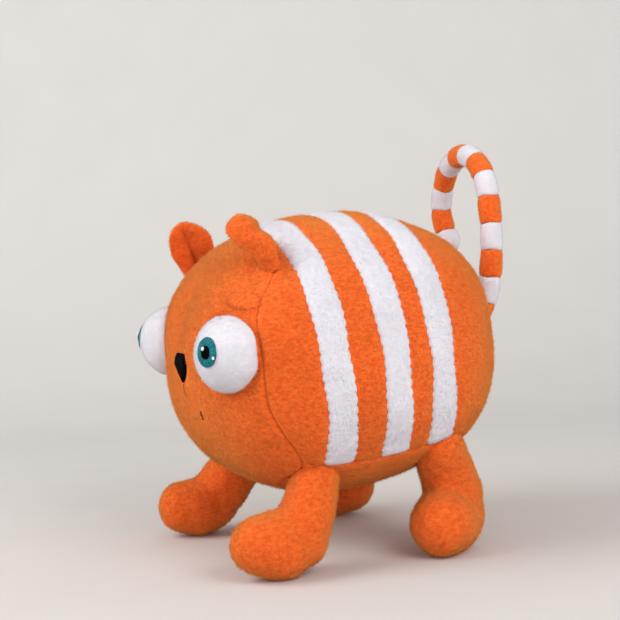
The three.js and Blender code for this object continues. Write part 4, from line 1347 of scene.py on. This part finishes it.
def leg(name, stance, seed):
    """A foot and a shank in one cover, with a seam over the toe."""
    turn = math.radians(stance["turn"])
    heading = np.array([stance["side"] * math.sin(turn), -math.cos(turn), 0.0])
    across = np.cross(heading, UP)
    foot = np.array([BODY_CENTRE[0] + stance["side"] * stance["out"], BODY_CENTRE[1] + stance["back"],
                     FOOT_HEIGHT / 2 - SOLE_CUT])
    hip = hinge(name + "_leg_swing")
    toe = foot + heading * (FOOT_LENGTH / 2 - TOE_BACK - stance["toe"]) + UP * stance["toe_up"]
    heel = foot - heading * stance["heel"] + UP * HEEL_UP
    ankle = heel - heading * stance["ankle_back"] + UP * ANKLE_UP
    shank = unit(hip - ankle)
    radii = (stance["toe"] - HEEL_SLIMMER, stance["toe"])
    belly = max(0.0, FOOT_FULLNESS - np.mean(radii))
    sag = (heel[2] + toe[2]) / 2 - np.mean(radii) - belly - FOOT_BOTTOM
    foot_points, foot_faces = tube(heel, toe, radii, belly, sag)
    top = hip + shank * 2.0 + heading * stance["hip_ahead"]
    shank_points, shank_faces = tube(top, ankle, (stance["hip"], stance["ankle"]))
    shift = len(foot_points)
    piece = mesh_object(f"leg_{name}_fleece", np.concatenate([foot_points, shank_points]),
                        foot_faces + [tuple(i + shift for i in f) for f in shank_faces])
    remeshed(piece, LEG_VOXEL)
    points = places(piece)
    depth = body_depth(to_body(points))
    for _ in range(6):
        points = points - shank * np.clip(depth - LEG_SEATED, 0, 3)[:, None]
        depth = body_depth(to_body(points))
    set_places(piece, points)
    inflate(piece, (depth > -1.0) | (points[:, 2] < 1.0), pressure=4.0, most=0.5)
    subdivided(piece, levels=1)
    points = places(piece)
    aside = (points - foot) @ across + stance["seam_slant"] * (points[:, 2] - 2.0)
    ahead = ramp((points - foot) @ heading + 2.0, 6.0) * ramp(15.0 - points[:, 2], 3.0)
    ahead *= ramp(points[:, 2] - 0.8, 2.5)
    relief = -FOOT_SEAM * bell(aside, 0.5) * ahead + 0.1 * bell(np.abs(aside) - 1.8, 1.0) * ahead
    relief += 0.2 * lumps(points, 9.0, seed) + 0.1 * lumps(points, 4.0, seed + 5)
    points = points + normals(piece) * relief[:, None]
    points[:, 2] = np.maximum(points[:, 2], 0.05)
    set_places(piece, points)
    piece.data.materials.clear()
    piece.data.materials.append(ORANGE)
    clear = np.minimum(ramp(points[:, 2] - 0.3, 0.8), np.clip(np.abs(aside) / 0.8 + 1 - ahead, 0.1, 1))
    store(piece, "nap", np.minimum(clear, clear_of_body(points)))
    # Painted shade along the groove of the toe seam
    store(piece, "seam", 0.6 * bell(aside, 0.4) * ahead)
    smooth(piece.data)
    body = "leg_" + name
    bend = dict(bodies=("body", body), start=hip, end=hip - shank * LEG_BENDS_OVER)
    nodes = [f"{body}_outer", f"{body}_inner", f"{body}_stuffing"]
    settle(piece, nodes, bend=bend)
    pile = nap(piece, f"{body}_nap", ORANGE, seed)
    spots = places(pile)
    spots[:, 2] = np.maximum(spots[:, 2], 0.02)
    set_places(pile, spots)
    settle(pile, bend=bend)


for number, (leg_name, leg_stance) in enumerate(LEGS.items()):
    leg(leg_name, leg_stance, 80 + number)


# Tail: one tube along the bands' middles, cut where the colour changes

TAIL_SEGMENTS = 28
TAIL_STEP = 0.5


def band_name(number):
    return f"tail_band_{number:02d}"


def catmull(knots, values, where):
    """A smooth curve through values at knots, with slopes from each knot's neighbours."""
    slopes = np.gradient(values, knots)
    index = np.clip(np.searchsorted(knots, where) - 1, 0, len(knots) - 2)
    width = knots[index + 1] - knots[index]
    t = (where - knots[index]) / width
    return ((2 * t ** 3 - 3 * t ** 2 + 1) * values[index] + (t ** 3 - 2 * t ** 2 + t) * width * slopes[index]
            + (3 * t ** 2 - 2 * t ** 3) * values[index + 1] + (t ** 3 - t ** 2) * width * slopes[index + 1])


def tail_route():
    """Points along the middle of the tail from the body to the tip, and how far along each of them is."""
    base = hinge("tail_base")
    out = TILT @ unit(slope(TAIL_BASE[None]))[0]
    heading = np.array([-math.cos(TAIL_ARCH_TURN), math.sin(TAIL_ARCH_TURN), 0.0])
    middle = base + TAIL_ARCH_FOOT + heading * TAIL_ARCH_RADIUS
    turns = np.linspace(0, math.pi, 9)
    arch = [middle + TAIL_ARCH_RADIUS * (UP * math.sin(a) - heading * math.cos(a)) for a in turns]
    stops = np.array([base - out * TAIL_RADIUS, base + out * TAIL_ROOT, base + TAIL_ELBOW,
                      base + TAIL_UPRIGHT_FROM, *arch, arch[-1] + TAIL_TIP_END])
    knots = lengths_along(stops, 0.5)
    fine = np.linspace(0, knots[-1], 900)
    curve = np.stack([catmull(knots, stops[:, i], fine) for i in range(3)], axis=1)
    return curve, lengths_along(curve) - TAIL_RADIUS


TAIL_LINE, TAIL_AT = tail_route()
TAIL_LENGTH = TAIL_AT[-1]


def tail_point(at):
    return np.stack([np.interp(at, TAIL_AT, TAIL_LINE[:, i]) for i in range(3)], axis=-1)


def tail_frame(at):
    """A place along the tail with its two sideways directions and the way on."""
    way = unit(tail_point(at + 0.4) - tail_point(at - 0.4))
    side = unit(np.cross(way, [0.12, 1.0, 0.2]))
    return tail_point(at), side, np.cross(way, side), way


def band_ends():
    standing = TAIL_FIRST_BAND + TAIL_STANDING_BAND * (TAIL_STANDING_BANDS - 1)
    rest = (TAIL_LENGTH - standing) / (TAIL_BANDS - TAIL_STANDING_BANDS)
    ends = [-1.5, TAIL_FIRST_BAND]
    ends += [TAIL_FIRST_BAND + TAIL_STANDING_BAND * n for n in range(1, TAIL_STANDING_BANDS)]
    ends += [standing + rest * n for n in range(1, TAIL_BANDS - TAIL_STANDING_BANDS + 1)]
    return ends


def tail_band(number, start, end, material, seed):
    """One band: a short stuffed tube, drawn in a little at the seams beside it."""
    tip = number == TAIL_BANDS
    turn = full_turn(TAIL_SEGMENTS)
    rings = []
    for at in np.linspace(start, end, max(8, int((end - start) / TAIL_STEP))):
        place, side, other, way = tail_frame(np.array(at))
        edge = min(at - start, 99 if tip else end - at)
        radius = TAIL_RADIUS - TAIL_SLIMMER - 0.25 * bell(edge, 0.6)
        if tip:
            radius += TAIL_TIP_FULLER * min(1.0, edge / 3.0)
            left = max(0.0, end - at)
            radius *= math.sqrt(max(0.0004, 1 - max(0.0, 1 - left / TAIL_RADIUS) ** 2))
        waver = 0.2 * np.sin(3 * turn + seed) * bell(edge, 1.2)
        ring = np.outer(np.cos(turn), side) + np.outer(np.sin(turn), other)
        rings.append(place + radius * ring + np.outer(waver, way))
    faces = tube_faces(len(rings), TAIL_SEGMENTS)
    piece = mesh_object(band_name(number) + "_fleece", np.concatenate(rings), faces, material)
    raise_lumps(piece, height=0.1, size=5.0, seed=90)
    return piece


def tail_bend_zone(name, bodies, reach):
    place = hinge(name)
    nearest = int(np.argmin(np.linalg.norm(TAIL_LINE - place, axis=1)))
    way = tail_frame(TAIL_AT[nearest])[3]
    return dict(bodies=bodies, start=place - way * reach, end=place + way * reach)


def tail():
    root = tail_bend_zone("tail_base", ("body", "tail_lower"), reach=3.0)
    root["start"] = hinge("tail_base")
    bend = tail_bend_zone("tail_bend", ("tail_lower", "tail_arch"), reach=5.0)
    curl = tail_bend_zone("tail_curl", ("tail_arch", "tail_tip"), reach=5.0)
    ends = band_ends()
    for number in range(1, TAIL_BANDS + 1):
        flex = root if number <= 2 else bend if number <= 8 else curl
        orange = number % 2 == 1
        material, slot = (ORANGE, "orange_fleece") if orange else (WHITE, "white_fleece")
        piece = tail_band(number, ends[number - 1] + TAIL_BAND_GAP, ends[number] - TAIL_BAND_GAP, material,
                          90 + number)
        nodes = [band_name(number)] + ([TAIL_WIRES[number]] if number in TAIL_WIRES else [])
        settle(piece, nodes, bend=flex)
        pile = nap(piece, band_name(number) + "_nap", material, 110 + number, length=0.35,
                   lean=NAP_LEAN if orange else 0.6)
        settle(pile, bend=flex)


tail()


# Floor, light and camera

FLOOR_AHEAD = 1500.0
FLOOR_BEHIND = 250.0
FLOOR_HALF_WIDTH = 2000.0
BACKDROP_CURVE = 220.0
BACKDROP_HEIGHT = 2200.0
CAMERA_FORWARD = np.array([-math.sin(CAMERA_AZIMUTH), math.cos(CAMERA_AZIMUTH), 0.0])
CAMERA_RIGHT = np.array([math.cos(CAMERA_AZIMUTH), math.sin(CAMERA_AZIMUTH), 0.0])


def stage():
    """A pale floor that curves up into a backdrop behind the cat."""
    material, tree, shader, place = new_material("pale_paper")
    grain = noise(tree, place, 30.0, 3.0)
    tone = mixed(tree, grain, linear("cfccc8"), linear("d4d1cd"))
    node(tree, shader, {"Base Color": tone, "Roughness": 0.9, "Specular IOR Level": 0.1})
    profile = [(-FLOOR_AHEAD, 0.0), (FLOOR_BEHIND, 0.0)]
    for a in np.linspace(0.1, math.pi / 2, 10):
        profile.append((FLOOR_BEHIND + BACKDROP_CURVE * math.sin(a), BACKDROP_CURVE * (1 - math.cos(a))))
    profile.append((FLOOR_BEHIND + BACKDROP_CURVE, BACKDROP_HEIGHT))
    sides = (-FLOOR_HALF_WIDTH, FLOOR_HALF_WIDTH)
    points = [CAMERA_FORWARD * d + UP * h + CAMERA_RIGHT * s for d, h in profile for s in sides]
    mesh_object("floor_and_backdrop", points, grid_faces(len(profile), 2, False), material)


def lights():
    world = bpy.data.worlds.new("room")
    world.use_nodes = True
    tree = world.node_tree
    sky = node(tree, "ShaderNodeSeparateXYZ", {0: node(tree, "ShaderNodeTexCoord").outputs["Generated"]})
    fade = node(tree, "ShaderNodeMapRange", {"Value": sky.outputs["Z"], "To Min": WALLS, "To Max": CEILING})
    node(tree, tree.nodes["Background"], {"Strength": fade, "Color": linear("f4f4f6")})
    bpy.context.scene.world = world
    for name, (place, power) in WINDOWS.items():
        light = bpy.data.lights.new(name, "AREA")
        light.shape = "DISK"
        light.size = WINDOW_SIZE * MM
        light.energy = power
        light.color = WINDOW_COLOUR
        lamp = placed(name, light)
        lamp.location = Vector(place) * MM
        lamp.rotation_euler = (Vector(LIT_PLACE) - Vector(place)).to_track_quat("-Z", "Y").to_euler()


def camera():
    cp, sp = math.cos(CAMERA_PITCH), math.sin(CAMERA_PITCH)
    cr, sr = math.cos(CAMERA_ROLL), math.sin(CAMERA_ROLL)
    roll = np.array([[cr, -sr, 0], [sr, cr, 0], [0, 0, 1]])
    pitch = np.array([[1, 0, 0], [0, -sp, -cp], [0, cp, -sp]])
    image = roll @ pitch @ np.stack([CAMERA_RIGHT, CAMERA_FORWARD, UP])
    data = bpy.data.cameras.new("camera")
    data.sensor_width = SENSOR
    data.lens = FOCAL_PIXELS / IMAGE_SIZE * SENSOR
    data.clip_start = 0.01
    made = placed("camera", data)
    turn = Matrix(np.stack([image[0], -image[1], -image[2]], axis=1).tolist()).to_4x4()
    place = [BODY_CENTRE[0] + CAMERA_FROM_BODY[0], BODY_CENTRE[1] + CAMERA_FROM_BODY[1], CAMERA_HEIGHT]
    made.matrix_world = Matrix.Translation(Vector(place) * MM) @ turn
    bpy.context.scene.camera = made


stage()
lights()
camera()
bpy.data.objects.remove(FIBRE)
bpy.context.scene.view_settings.view_transform = "Standard"
